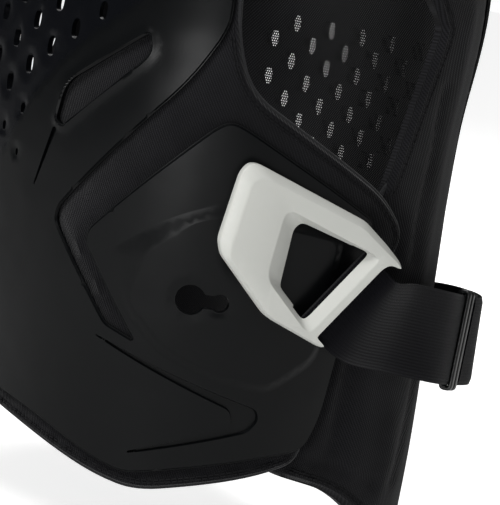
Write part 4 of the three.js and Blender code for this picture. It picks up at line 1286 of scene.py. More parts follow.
@dataclass
class Fold:
    """A fold or pleat of the padded wing, as a line of turn and drop."""

    line: list[tuple[float, float]]
    height: float
    width: float

    def relief(self, p: np.ndarray) -> np.ndarray:
        """Height of the fold at flat points."""
        gap = distance(p, flat_line(self.line), 40, closed=False)
        return self.height * np.exp(-((gap / self.width) ** 2))


@dataclass
class BackLiner:
    """Padded liner of the back, with the wings that come round to the front.

    Args:
        puff: how far the free part of the wings swells.
        folds: folds and pleats of the wearer's left wing.
    """

    puff: float = 2.4
    folds: list[Fold] = field(default_factory=lambda: [
        Fold([(91.5, 0.66), (91.2, 0.755), (91.4, 0.86)], -1.8, 2.6),
        Fold([(96.0, 0.64), (95.0, 0.76), (96.5, 0.89)], 1.4, 6.0),
        Fold([(110.5, 0.70), (109.0, 0.80), (106.8, 0.905)], -2.0, 3.2),
        Fold([(103.0, 0.82), (104.0, 0.87), (102.5, 0.93)], 1.2, 4.5),
        Fold([(80.0, 0.868), (86.0, 0.875), (93.0, 0.882), (101.0, 0.905)], -1.7, 2.2),
        Fold([(78.0, 0.882), (90.0, 0.898), (99.0, 0.93)], 1.1, 3.4),
        Fold([(102.5, 0.40), (102.7, 0.475), (101.4, 0.563), (101.6, 0.614)], -1.7, 2.0),
        Fold([(106.5, 0.30), (107.5, 0.42), (106.0, 0.54), (104.5, 0.64)], 1.2, 5.5),
    ])

    def free(self, flat: np.ndarray) -> np.ndarray:
        """1 where nothing lies on the liner, 0 where a shell or the front liner does.

        Args:
            flat: flat points in millimetres.

        Returns:
            The value at each point.
        """
        p = folded(flat)
        loose = np.full(len(p), 30.0)
        for loop in (folded_loop(FRONT_LINER_LOOP), folded_loop(BACK_SHELL_LOOP)):
            loose = np.minimum(loose, np.where(inside(p, loop), 0.0, distance(p, loop, 30)))
        return smooth(loose, 1.0, 9.0)

    def sewn(self, flat: np.ndarray) -> np.ndarray:
        """Where the border's seams show."""
        return self.free(flat) > 0.25

    def relief(self, flat: np.ndarray) -> np.ndarray:
        """Height of the liner's swelling and folds at flat points."""
        p = folded(flat)
        return sum((fold.relief(p) for fold in self.folds), self.puff) * self.free(flat)

    def build(self, finish: bpy.types.Material) -> bpy.types.Object:
        """Makes the liner."""
        sheet = BentSheet(
            "back_liner_pad", BACK_LINER_LOOP, 0, WING_THICKNESS, [BACK_WINDOW_LOOP], relief=self.relief,
            spacing=4.2, edge=2.8, hole_edge=0.8)
        return sheet.build(finish)


def folded(flat: np.ndarray) -> np.ndarray:
    """Flat points of either side as points of the wearer's left."""
    turn = flat[:, 0] / FLAT_SCALE
    return np.stack([np.where(turn > 180, 360 - turn, np.abs(turn)) * FLAT_SCALE, flat[:, 1]], axis=1)


def folded_loop(loop: np.ndarray) -> np.ndarray:
    """The half of a symmetric loop on the wearer's left."""
    turn = loop[:, 0] / FLAT_SCALE
    return loop[(turn >= -1e-6) & (turn <= 180 + 1e-6)]


@dataclass
class BackMesh:
    """Spacer mesh stretched over the liner's window, with open pores behind the shell's perforations."""

    thickness: float = 0.5
    clearance: float = 0.4
    pore_reach: float = 6.3

    def pores(self) -> list[np.ndarray]:
        """Loops of the open pores.

        Returns:
            A loop for each pore, in flat millimetres.
        """
        loops = []
        angles = 2 * np.pi * np.arange(6) / 6
        for turn, fall, _ in hole_places(BACK_HOLES, 180):
            scale = FORM.degrees_per_mm(turn, fall) * FLAT_SCALE
            for row in range(-3, 4):
                for column in range(-4, 5):
                    x = (column + (0.5 if row % 2 else 0)) * PORE_PITCH
                    y = row * PORE_PITCH * 0.92
                    if abs(x) > self.pore_reach:
                        continue
                    ring = np.stack([np.cos(angles) * scale, np.sin(angles)], axis=1) * PORE_SIZE / 2
                    loops.append(ring + [turn * FLAT_SCALE + x * scale, -fall + y])
        return loops

    def outline(self) -> np.ndarray:
        """Outline of the mesh, a little inside the liner's window."""
        middle = np.array([180 * FLAT_SCALE, -(BACK_WINDOW[0][1] + BACK_WINDOW[-1][1]) * BODY_HEIGHT / 2])
        return middle + (BACK_WINDOW_LOOP - middle) * (1 - self.clearance / 60)

    def build(self, finish: bpy.types.Material) -> bpy.types.Object:
        """Makes the mesh."""
        sheet = BentSheet(
            "back_spacer_mesh", self.outline(), WING_THICKNESS - self.thickness, WING_THICKNESS, self.pores(),
            spacing=4.2, edge=0.6, hole_edge=0.0)
        return sheet.build(finish)

    def cut(self) -> tuple[float, float, float]:
        """Measures the flat cut along the bent surface, in metres.

        Returns:
            The width, the length and the area.
        """
        outline = self.outline()
        low, high = outline.min(axis=0), outline.max(axis=0)
        rows = np.linspace(low[1], high[1], 80)
        widths = []
        for y in rows[1:-1]:
            x = np.linspace(low[0], high[0], 240)
            keep = inside(np.stack([x, np.full(240, y)], axis=1), outline)
            points = FORM.point(x[keep] / FLAT_SCALE, -y, WING_THICKNESS)
            widths.append(float(np.sum(np.linalg.norm(np.diff(points, axis=0), axis=1))))
        middle = FORM.point(180, -rows, WING_THICKNESS)
        lengths = np.linalg.norm(np.diff(middle, axis=0), axis=1)
        area = float(np.sum(np.array(widths) * lengths[1:]))
        return max(widths) * MM, float(np.sum(lengths)) * MM, area * MM * MM


@dataclass
class BackShell:
    """Moulded back shell with its perforations and two stiffening ribs."""

    rib_height: float = 1.4
    thinning: float = 1.6
    spacing: float = 4.0

    RIB = [(146, 0.16), (140, 0.36), (138, 0.55), (146, 0.76), (158, 0.93)]

    def relief(self, flat: np.ndarray) -> np.ndarray:
        """Height of the shell's relief at flat points."""
        rib = rounded([(x, y, 30) for x, y in flat_line(self.RIB)], closed=False)
        return self.rib_height * (1 - smooth(distance(folded(flat), rib, 20, closed=False), 2.0, 7.0))

    def thinned(self, flat: np.ndarray) -> np.ndarray:
        """The perforated middle is thinner than the rim."""
        return self.thinning * within(flat, BACK_WINDOW_LOOP, 2.0, 9.0)

    def build(self, finish: bpy.types.Material) -> bpy.types.Object:
        """Makes the shell."""
        sheet = BentSheet(
            "back_shell_moulding", BACK_SHELL_LOOP, BACK_SHELL_INNER, BACK_SHELL_OUTER,
            [hole_loop(*place) for place in hole_places(BACK_HOLES, 180)], relief=self.relief,
            spacing=self.spacing, edge=1.2, lift=self.thinned)
        return sheet.build(finish)


@dataclass
class Frame:
    """A local frame: a piece's own x, y and z axes in millimetres of the row frame."""

    origin: np.ndarray
    x: np.ndarray
    y: np.ndarray
    z: np.ndarray

    def at(self, points: np.ndarray) -> np.ndarray:
        """Local points in the row frame."""
        return self.origin + np.asarray(points, float) @ np.array([self.x, self.y, self.z])


@dataclass
class HookBuckle:
    """Off-white hook: bevelled plate, sloped window, strap pocket behind its bar and a stud."""

    length: float = 102.0
    height: float = 92.0
    thickness: float = 8.0
    turn: float = 72.5
    fall: float = 258.0
    facing: float = 70.9
    standoff: float = 3.0
    pocket_depth: float = 4.0
    neck_radius: float = 3.2
    head_radius: float = 6.4
    neck_length: float = 11.6
    stud: tuple[float, float] = (-0.255, 0.087)
    bar: tuple[tuple[float, float], tuple[float, float]] = ((0.163, -0.453), (0.459, -0.05))

    # Along and rise of the outline, then of the inner edge of its bevel
    OUTLINE = [
        (-0.265, 0.474, -0.21, 0.396), (-0.315, 0.474, -0.262, 0.4), (-0.353, 0.419, -0.3, 0.37),
        (-0.42, 0.042, -0.361, 0.016), (-0.397, -0.042, -0.362, -0.05), (-0.138, -0.352, -0.128, -0.342),
        (-0.097, -0.382, -0.09, -0.37), (0.175, -0.518, 0.176, -0.508), (0.21, -0.521, 0.206, -0.512),
        (0.157, -0.47, 0.155, -0.464), (0.163, -0.453, 0.159, -0.45), (0.459, -0.05, 0.456, -0.046),
        (0.5, -0.026, 0.497, -0.022), (0.57, -0.05, 0.56, -0.044), (0.556, -0.008, 0.545, -0.02),
        (0.472, 0.083, 0.44, 0.066), (0.336, 0.208, 0.32, 0.17),
    ]
    # Along and rise of the window's rim on the face, then of the hole that it slopes down to
    WINDOW = [
        (-0.075, 0.238, 0.01, 0.168), (-0.109, 0.211, -0.029, 0.13), (-0.153, -0.104, -0.059, -0.185),
        (-0.14, -0.167, -0.052, -0.209), (0.085, -0.426, 0.056, -0.33), (0.117, -0.427, 0.073, -0.336),
        (0.143, -0.398, 0.094, -0.32), (0.429, -0.003, 0.347, 0.023), (0.409, 0.024, 0.349, 0.039),
    ]

    def frame(self) -> Frame:
        """Frame of the plate: x back along the plate, y up and z away from the body.

        Returns:
            The frame.
        """
        facing = math.radians(self.facing)
        z = np.array([math.sin(facing), -math.cos(facing), 0.0])
        x = np.array([math.cos(facing), math.sin(facing), 0.0])
        origin = FORM.point(self.turn, self.fall, SHELL_OUTER + self.standoff)
        return Frame(origin, x, np.array([0.0, 0.0, 1.0]), z)

    def foot(self) -> np.ndarray:
        """Where the stud leaves the plate."""
        return self.frame().at([self.stud[0] * self.length, self.stud[1] * self.height, 0.0])

    def keyhole(self) -> tuple[float, float]:
        """Turn and drop of the keyhole that the stud goes through."""
        p = self.foot()
        return math.degrees(math.atan2(p[0], -p[1])), -p[2] / BODY_HEIGHT

    def bar_frame(self) -> tuple[np.ndarray, np.ndarray, np.ndarray]:
        """Place and directions of the bar that the strap goes round.

        Returns:
            The middle and both directions, flat on the plate.
        """
        ends = np.array(self.bar) * [self.length, self.height]
        way = unit(ends[1] - ends[0])
        return ends.mean(axis=0), way, np.array([way[1], -way[0]])

    def ring(self, rows: Sequence[Sequence[float]], first: int, radius: float) -> np.ndarray:
        """A closed ring of the plate with rounded corners."""
        flat = [(r[first] * self.length, r[first + 1] * self.height, radius) for r in rows]
        return rounded(flat, closed=True, steps=4)

    def plate(self) -> tuple[np.ndarray, Faces]:
        """Lays out the plate with its window.

        Returns:
            The points and the faces.
        """
        outer, rim = (self.ring(self.OUTLINE, k, 3.0) for k in (0, 2))
        recess, hole = (self.ring(self.WINDOW, k, 3.0) for k in (0, 2))
        top = self.thickness
        # Each level of the outside and of the window: share of the way to its second ring, and height
        outside = [(0.1, 0.0), (0.02, 0.4), (0.0, 1.0), (0.0, 4.3), (0.03, 4.9), (0.12, 5.5), (0.85, 7.55),
                   (0.97, 7.9), (1.12, top)]
        window = [(-0.07, top), (0.0, 7.85), (0.06, 7.5), (0.94, 2.3), (1.0, 1.8), (1.0, 0.5), (0.95, 0.0)]
        levels = [np.column_stack([outer * (1 - b) + rim * b, np.full(len(outer), z)]) for b, z in outside]
        wells = [np.column_stack([recess * (1 - b) + hole * b, np.full(len(hole), z)]) for b, z in window]
        points = np.vstack(levels + wells)
        n, m = len(outer), len(recess)
        start = len(levels) * n
        faces = wrapped(len(levels), n) + wrapped(len(wells), m, start=start)
        for level, well in ((len(levels) - 1, 0), (0, len(wells) - 1)):
            rings = [range(level * n, (level + 1) * n), range(start + well * m, start + (well + 1) * m)]
            faces.extend(capped(points, rings))
        return points, faces

    def build(self, name: str, finish: bpy.types.Material) -> bpy.types.Object:
        """Makes the hook.

        Args:
            name: the piece's name.
            finish: its material.

        Returns:
            The piece.
        """
        frame = self.frame()
        points, faces = self.plate()
        hook = tidy_normals(mesh_object(name, frame.at(points), faces, finish))
        middle, way, out = self.bar_frame()
        half = WEBBING_WIDTH / 2 + SLOT_CLEARANCE
        corners = [middle + way * side * half + out * o for side, o in ((-1, -20), (1, -20), (1, 24), (-1, 24))]
        box = np.array([(*c, z) for z in (-1, self.pocket_depth) for c in corners])
        quads = [(0, 1, 2, 3), (4, 5, 6, 7), (0, 1, 5, 4), (1, 2, 6, 5), (2, 3, 7, 6), (3, 0, 4, 7)]
        pocket = tidy_normals(mesh_object("pocket_tool", frame.at(box), quads, finish))
        combined(hook, pocket, "DIFFERENCE")
        head = -self.neck_length - 2.0
        # Radius and height of the stud, from its head up into the plate
        profile = [
            (0, head), (self.head_radius - 0.5, head), (self.head_radius, head + 0.5),
            (self.head_radius, -self.neck_length - 0.4), (self.head_radius - 0.4, -self.neck_length),
            (self.neck_radius, -self.neck_length), (self.neck_radius, 1.0), (0, 1.0)]
        axes = Frame(self.foot(), frame.y, np.cross(frame.z, frame.y), frame.z)
        stud = turned("stud_tool", profile, axes, finish, 32)
        combined(hook, stud, "UNION")
        hook.data.polygons.foreach_set("use_smooth", np.ones(len(hook.data.polygons), bool))
        hook.data.set_sharp_from_angle(angle=math.radians(26))
        return hook


def capped(points: np.ndarray, rings: Sequence[Sequence[int]]) -> list[tuple[int, int, int]]:
    """Triangles between an outer ring and the rings inside it, all on one level.

    Args:
        points: points of the mesh.
        rings: numbers of each ring's points, the outer ring first.

    Returns:
        The triangles.
    """
    flat, edges, numbers = [], [], []
    for ring in rings:
        start = len(flat)
        flat.extend(Vector(points[i][:2]) for i in ring)
        numbers.extend(ring)
        edges.extend((start + i, start + (i + 1) % len(ring)) for i in range(len(ring)))
    found = delaunay_2d_cdt(flat, edges, [], 0, 1e-6, True)
    origin = [numbers[o[0]] for o in found[3]]
    where = np.array([(v.x, v.y) for v in found[0]])
    result = []
    for triangle in found[2]:
        middle = where[list(triangle)].mean(axis=0)[None]
        held = inside(middle, points[rings[0]][:, :2])[0]
        if held and not any(inside(middle, points[r][:, :2])[0] for r in rings[1:]):
            result.append(tuple(origin[i] for i in triangle))
    return result


def combined(piece: bpy.types.Object, tool: bpy.types.Object, operation: str) -> None:
    """Joins a tool to a piece or cuts it out, and removes the tool.

    Args:
        piece: the piece.
        tool: the tool.
        operation: UNION or DIFFERENCE.
    """
    modifier = piece.modifiers.new("combine", "BOOLEAN")
    modifier.operation = operation
    modifier.object = tool
    modifier.solver = "EXACT"
    bpy.context.view_layer.update()
    baked(piece)
    bpy.data.objects.remove(tool)


def turned(
    name: str, profile: Sequence[tuple[float, float]], frame: Frame, finish: bpy.types.Material, corners: int
) -> bpy.types.Object:
    """A turned piece from a profile that starts and ends on its axis.

    Args:
        name: the piece's name.
        profile: radius and height of each ring.
        frame: frame with its axis as z.
        finish: its material.
        corners: number of points round it.

    Returns:
        The piece.
    """
    angles = 2 * np.pi * np.arange(corners) / corners
    points = [(0.0, 0.0, profile[0][1])]
    for radius, height in profile[1:-1]:
        points.extend((radius * math.cos(a), radius * math.sin(a), height) for a in angles)
    points.append((0.0, 0.0, profile[-1][1]))
    faces: Faces = []
    rings = len(profile) - 2
    last = len(points) - 1
    for i in range(corners):
        j = (i + 1) % corners
        faces.append((0, 1 + j, 1 + i))
        for k in range(rings - 1):
            a, b = 1 + k * corners, 1 + (k + 1) * corners
            faces.append((a + i, a + j, b + j, b + i))
        a = 1 + (rings - 1) * corners
        faces.append((a + i, a + j, last))
    return tidy_normals(mesh_object(name, frame.at(np.array(points)), faces, finish))


class Curve:
    """Smooth curve through points, with knots spaced by the root of the distance."""

    def __init__(self, points: Sequence[np.ndarray]) -> None:
        """Keeps the points with one more beyond each end.

        Args:
            points: points that the curve goes through.
        """
        rows = [np.asarray(p, float) for p in points]
        self.points = [2 * rows[0] - rows[1]] + rows + [2 * rows[-1] - rows[-2]]
        self.pieces = len(rows) - 1

    def at(self, share: float) -> np.ndarray:
        """Point at a share of the curve.

        Args:
            share: share of the curve, 0 to 1.

        Returns:
            The point.
        """
        place = min(max(share, 0.0), 1.0) * self.pieces
        i = min(int(place), self.pieces - 1)
        t = place - i
        a, b, c, d = self.points[i : i + 4]
        gap = [max(float(np.linalg.norm(q - p)) ** 0.5, 1e-6) for p, q in ((a, b), (b, c), (c, d))]
        m1 = ((b - a) / gap[0] - (c - a) / (gap[0] + gap[1]) + (c - b) / gap[1]) * gap[1]
        m2 = ((c - b) / gap[1] - (d - b) / (gap[1] + gap[2]) + (d - c) / gap[2]) * gap[1]
        return b + m1 * t + (3 * (c - b) - 2 * m1 - m2) * t * t + (2 * (b - c) + m1 + m2) * t**3

    def way(self, share: float) -> np.ndarray:
        """Direction at a share of the curve."""
        return unit(self.at(share + 1e-3) - self.at(share - 1e-3))


@dataclass
class Band:
    """A flat strap through stations.

    Args:
        points: middle of the strap's inner side at each station.
        across: direction over its width.
        normals: direction of its thickness.
        width: width in millimetres.
        inner: depth of its inner side.
        outer: depth of its outer side.
        columns: facets over its width.
    """

    points: np.ndarray
    across: np.ndarray
    normals: np.ndarray
    width: float
    inner: float
    outer: float
    columns: int = 14

    def mesh(self) -> tuple[np.ndarray, Faces, np.ndarray]:
        """Lays out the strap.

        Returns:
            The points, the faces and the flat places in metres.
        """
        count = len(self.points)
        share = np.linspace(-0.5, 0.5, self.columns + 1)
        share = np.sign(share) * 0.5 * (np.abs(share) * 2) ** 0.9
        thin = 0.5 * (1 - np.clip((0.5 - np.abs(share)) / 0.02, 0, 1)) * (self.outer - self.inner) * 0.7
        along = np.concatenate([[0], np.cumsum(np.linalg.norm(np.diff(self.points, axis=0), axis=1))])
        rows, flats = [], []
        for i in range(count):
            for step, depths in ((1, self.outer - thin), (-1, self.inner + thin)):
                a, h = share[::step], depths[::step]
                off = np.outer(a * self.width, self.across[i]) + np.outer(h, self.normals[i])
                rows.append(self.points[i] + off)
                flats.append(np.column_stack([np.full(len(a), along[i]), a * self.width]))
        size = 2 * (self.columns + 1)
        faces = wrapped(count, size)
        for i in (0, count - 1):
            for k in range(self.columns):
                faces.append((i * size + k, i * size + k + 1, i * size + size - 2 - k, i * size + size - 1 - k))
        return np.vstack(rows), faces, np.vstack(flats) * MM

    def build(self, name: str, finish: bpy.types.Material) -> bpy.types.Object:
        """Makes the strap."""
        points, faces, flat = self.mesh()
        return tidy_normals(mesh_object(name, points, faces, finish, flat))


@dataclass
class SideStrap:
    """Webbing from the hook's bar to the back shell, doubled behind its slider."""

    hook: HookBuckle
    width: float = WEBBING_WIDTH
    thickness: float = WEBBING_THICKNESS
    gap: float = WEBBING_GAP
    seat: float = 1.1
    slider_turn: float = 115.0

    # Turn, drop and standoff of the free stretch, then the turns where it lies on the back shell
    STATIONS = [
        (97, 0.692, 17.5), (108, 0.708, 20.5), (116, 0.719, 24.0), (123, 0.726, 31.0), (130, 0.73, 31.0),
        (137, 0.734, 22.0),
    ]
    SEATED = (144, 152, 160)

    def stations(self) -> tuple[np.ndarray, np.ndarray, np.ndarray]:
        """Stations of the strap from the hook to the back.

        Returns:
            The points, across directions and normals.
        """
        frame = self.hook.frame()
        middle, way, out = self.hook.bar_frame()
        depth = self.hook.pocket_depth - self.gap - self.thickness
        held = [frame.at([*(middle + out * o), depth + lift]) for o, lift in ((-12, 0), (2, 0), (14, 0.5))]
        free = [FORM.point(turn, drop * BODY_HEIGHT, stand) for turn, drop, stand in self.STATIONS]
        seated = [FORM.point(t, 0.745 * BODY_HEIGHT, BACK_SHELL_OUTER + self.seat) for t in self.SEATED]
        curve = Curve([*held, *free, *seated])
        bar = frame.x * way[0] + frame.y * way[1]
        steps = curve.pieces * 2
        fine = steps * 5
        points, across, normals = [], [], []
        for k in range(fine + 1):
            share = k / fine
            point, tangent = curve.at(share), curve.way(share)
            turn = math.degrees(math.atan2(point[0], -point[1]))
            rise = FORM.rise(turn, -point[2], SHELL_OUTER)
            level = unit(rise - tangent * float(rise @ tangent))
            blend = float(smooth(np.array(share * steps), 2, 8))
            side = unit(bar * (1 - blend) + level * blend)
            points.append(point)
            across.append(side)
            normals.append(unit(np.cross(tangent, side)))
        return np.array(points), np.array(across), np.array(normals)

    def slider_at(self) -> int:
        """Number of the station that the slider is on."""
        points = self.stations()[0][::5]
        return int(np.argmax(np.degrees(np.arctan2(points[:, 0], -points[:, 1])) >= self.slider_turn)) * 5

    def build(self, name: str, finish: bpy.types.Material) -> bpy.types.Object:
        """Makes the strap with its doubled tail.

        Args:
            name: the piece's name.
            finish: its material.

        Returns:
            The piece.
        """
        points, across, normals = self.stations()
        main = Band(points, across, normals, self.width, 0, self.thickness)
        outer = self.thickness + self.gap
        kept = slice(self.slider_at() + 3, len(points) - 27)
        tail = Band(
            points[kept], across[kept], normals[kept], self.width - 0.8, outer, outer + self.thickness)
        parts = [main.mesh(), tail.mesh()]
        mesh_points, faces = joined([(p, f) for p, f, _ in parts])
        return tidy_normals(mesh_object(name, mesh_points, faces, finish, np.vstack([uv for _, _, uv in parts])))


@dataclass
class StrapSlider:
    """Loop round the side strap: two rounded front bars with a slit between them."""

    strap: SideStrap
    width: float = 9.0
    wall: float = 2.4
    slit: float = 1.4

    def build(self, name: str, finish: bpy.types.Material) -> bpy.types.Object:
        """Makes the slider.

        Args:
            name: the piece's name.
            finish: its material.

        Returns:
            The piece.
        """
        points, across, normals = self.strap.stations()
        at = self.strap.slider_at()
        frame = Frame(
            points[at] + normals[at] * self.strap.thickness / 2, across[at], np.cross(normals[at], across[at]),
            normals[at])
        inner_half = self.strap.width / 2 + SLOT_CLEARANCE
        deep_half = self.strap.thickness / 2 + self.strap.gap
        long, deep = inner_half + self.wall / 2, deep_half + self.wall / 2
        bar = (self.width - self.slit) / 2
        parts = []
        for side in (-1, 1):
            loop = rounded([(-long, -deep, 2), (long, -deep, 2), (long, deep, 2), (-long, deep, 2)], True, 5)
            path = np.column_stack([loop[:, 0], np.full(len(loop), side * (bar + self.slit) / 2), loop[:, 1]])
            outwards = path * [1 / long, 0, 1 / deep]
            parts.append(swept(path, outwards, round_section(bar, self.wall, 16, 0.45), True))
        for end in (-1, 1):
            path = np.array([(end * long, y, 0.0) for y in np.linspace(-1.6, 1.6, 5)])
            ups = np.tile([end * 1.0, 0, 0], (5, 1))
            parts.append(swept(path, ups, round_section(2 * deep_half + self.wall, self.wall * 0.9, 12), False))
        mesh_points, faces = joined(parts)
        return tidy_normals(mesh_object(name, frame.at(mesh_points), faces, finish, sharp=60))


@dataclass
class ShoulderArch:
    """Line of the shoulder strap over the wearer's left shoulder."""

    half_depth: float = 75.0
    out: float = 92.0
    rise: float = 60.0
    turn: float = 47.0
    strap_width: float = 40.0
    pad_width: float = 62.0
    pad_thickness: float = 9.0
    gap: float = WEBBING_GAP
    front_tabs: tuple[float, ...] = (96.0, 84.0, 68.0, 51.0)
    back_tabs: tuple[float, ...] = (38.0, 62.0, 84.0, 96.0)

    def stations(self) -> list[Station]:
        """Stations of the strap from front to back.

        Returns:
            Point, across direction, normal and whether it is on the arch.
        """
        rows = []
        for fall in self.front_tabs:
            rows.append(self.on_shell(self.turn, fall, SHELL_OUTER, 1))
        for k in range(9):
            angle = math.radians(90 + 66 * (k / 4 - 1))
            normal = np.array([0.0, -math.cos(angle), math.sin(angle)])
            base = np.array([self.out, -self.half_depth * math.cos(angle), self.rise * (math.sin(angle) - 1)])
            over = base + normal * (self.pad_thickness + self.gap)
            rows.append((over, np.array([-1.0, 0.0, 0.0]), normal, True))
        for fall in self.back_tabs:
            rows.append(self.on_shell(180 - self.turn, fall, BACK_SHELL_OUTER, -1))
        return rows

    def on_shell(self, turn: float, fall: float, outer: float, way: int) -> Station:
        """Station of a tab that lies on a shell.

        Args:
            turn: turn of the tab.
            fall: fall of the station.
            outer: standoff of the shell's outer side.
            way: 1 where the strap runs up, -1 where it runs down.

        Returns:
            The station.
        """
        normal = FORM.outward(turn, fall, outer)
        travel = FORM.rise(turn, fall, outer) * way
        return FORM.point(turn, fall, outer + self.gap), np.cross(normal, travel), normal, False

    def smooth(self, rows: Sequence[Station], steps: int) -> tuple[np.ndarray, np.ndarray, np.ndarray]:
        """Fine stations through rough ones.

        Args:
            rows: the rough stations.
            steps: fine stations for each rough one.

        Returns:
            The points, across directions and normals.
        """
        curve = Curve([r[0] for r in rows])
        sides, outs = Curve([unit(r[1]) for r in rows]), Curve([unit(r[2]) for r in rows])
        shares = np.linspace(0, 1, curve.pieces * steps + 1)
        points = np.array([curve.at(s) for s in shares])
        ways = [curve.way(s) for s in shares]
        across, normals = [], []
        for s, way in zip(shares, ways):
            side = sides.at(s)
            side = unit(side - way * float(side @ way))
            across.append(side)
            normals.append(unit(outs.at(s) - side * float(outs.at(s) @ side)))
        return points, np.array(across), np.array(normals)

    def strap(self, name: str, finish: bpy.types.Material) -> bpy.types.Object:
        """Makes the shoulder strap."""
        points, across, normals = self.smooth(self.stations(), 5)
        return Band(points, across, normals, self.strap_width, 0, WEBBING_THICKNESS).build(name, finish)

    def pad(self, name: str, finish: bpy.types.Material) -> bpy.types.Object:
        """Makes the pad under the strap, swollen between its seams.

        Args:
            name: the piece's name.
            finish: its material.

        Returns:
            The piece.
        """
        points, across, normals = self.smooth([r for r in self.stations() if r[3]], 5)
        band = Band(points, across, normals, self.pad_width, -self.gap - self.pad_thickness, -self.gap, 16)
        rows, faces, flat = band.mesh()
        count = len(points)
        share = np.linspace(-1, 1, 17)
        along = np.linspace(-1, 1, count)
        soft = (1 - np.abs(share)[None, :] ** 6) * (1 - np.abs(along)[:, None] ** 10)
        thin = 0.42 * (1 - soft) * self.pad_thickness
        grid = rows.reshape(count, 2, 17, 3)
        grid[:, 0] -= thin[:, :, None] * normals[:, None]
        grid[:, 1] += thin[:, ::-1, None] * normals[:, None] * 0.6
        return tidy_normals(mesh_object(name, grid.reshape(-1, 3), faces, finish, flat))


@dataclass
class Inflation:
    """Swells a padded piece with a short cloth simulation.

    Args:
        voxel: size of the even facets in millimetres.
        pressure: pressure inside the cover.
        most: longest way that a point may move, in millimetres.
        frames: number of frames.
    """

    voxel: float = 4.5
    pressure: float = 4.0
    most: float = 1.6
    frames: int = 20

    def apply(self, piece: bpy.types.Object, flat: Callable[[np.ndarray], np.ndarray]) -> None:
        """Swells the piece.

        Args:
            piece: closed piece.
            flat: flat place of points in metres, from their places in millimetres.
        """
        remesh = piece.modifiers.new("even", "REMESH")
        remesh.mode = "VOXEL"
        remesh.voxel_size = self.voxel * MM
        baked(piece)
        rest = coordinates(piece.data)
        scene = bpy.context.scene
        scene.frame_start, scene.frame_end = 1, self.frames
        cloth = piece.modifiers.new("cloth", "CLOTH")
        cloth.settings.use_pressure = True
        cloth.settings.uniform_pressure_force = self.pressure
        cloth.settings.effector_weights.gravity = 0
        cloth.point_cache.frame_start, cloth.point_cache.frame_end = 1, self.frames
        for frame in range(1, self.frames + 1):
            scene.frame_set(frame)
        graph = bpy.context.evaluated_depsgraph_get()
        swollen = coordinates(piece.evaluated_get(graph).data)
        piece.modifiers.clear()
        scene.frame_set(1)
        move = swollen - rest
        length = np.linalg.norm(move, axis=1)[:, None]
        rest = rest + move * np.minimum(1, self.most * MM / np.maximum(length, 1e-9))
        piece.data.vertices.foreach_set("co", rest.astype(np.float32).ravel())
        fine = piece.modifiers.new("fine", "SUBSURF")
        fine.levels = fine.render_levels = 1
        baked(piece)
        mesh = piece.data
        lay_flat(mesh, flat(coordinates(mesh) / MM))
        mesh.polygons.foreach_set("use_smooth", np.ones(len(mesh.polygons), bool))


def coordinates(mesh: bpy.types.Mesh) -> np.ndarray:
    """Places of a mesh's points.

    Args:
        mesh: the mesh.

    Returns:
        The places in metres.
    """
    values = np.empty(len(mesh.vertices) * 3, np.float32)
    mesh.vertices.foreach_get("co", values)
    return values.reshape(-1, 3).astype(float)


def over_shoulder(points: np.ndarray) -> np.ndarray:
    """Flat place of points of the shoulder pad, along the arch and across it, in metres."""
    angle = np.arctan2(points[:, 2] + 60, points[:, 1])
    return np.stack([angle * 70, points[:, 0]], axis=1) * MM


@dataclass
class Snap:
    """Low round cap of a press fastener with its post."""

    cap_radius: float = 8.0
    cap_height: float = 3.2
    post_radius: float = 3.0
    post_length: float = 5.5

    def build(
        self, name: str, point: np.ndarray, normal: np.ndarray, finish: bpy.types.Material
    ) -> bpy.types.Object:
        """Makes the snap on a point with its cap facing along the normal.

        Args:
            name: the piece's name.
            point: where its cap sits.
            normal: the way its cap faces.
            finish: its material.

        Returns:
            The piece.
        """
        r, h = self.cap_radius, self.cap_height
        profile = [
            (0, -self.post_length), (self.post_radius, -self.post_length), (self.post_radius, 0), (r - 0.4, 0),
            (r, 0.4), (r, h * 0.45), (r * 0.96, h * 0.62), (r * 0.86, h * 0.82), (r * 0.72, h * 0.95),
            (r * 0.6, h), (r * 0.52, h * 0.93), (r * 0.3, h * 0.84), (0, h * 0.8)]
        x = unit(np.cross([0.0, 0.0, 1.0], normal))
        return turned(name, profile, Frame(point, x, np.cross(normal, x), normal), finish, 40)


def bearing(azimuth: float, elevation: float) -> Vector:
    """Direction at degrees round from the front and degrees above level."""
    a, e = math.radians(azimuth), math.radians(elevation)
    return Vector((math.sin(a) * math.cos(e), -math.cos(a) * math.cos(e), math.sin(e)))


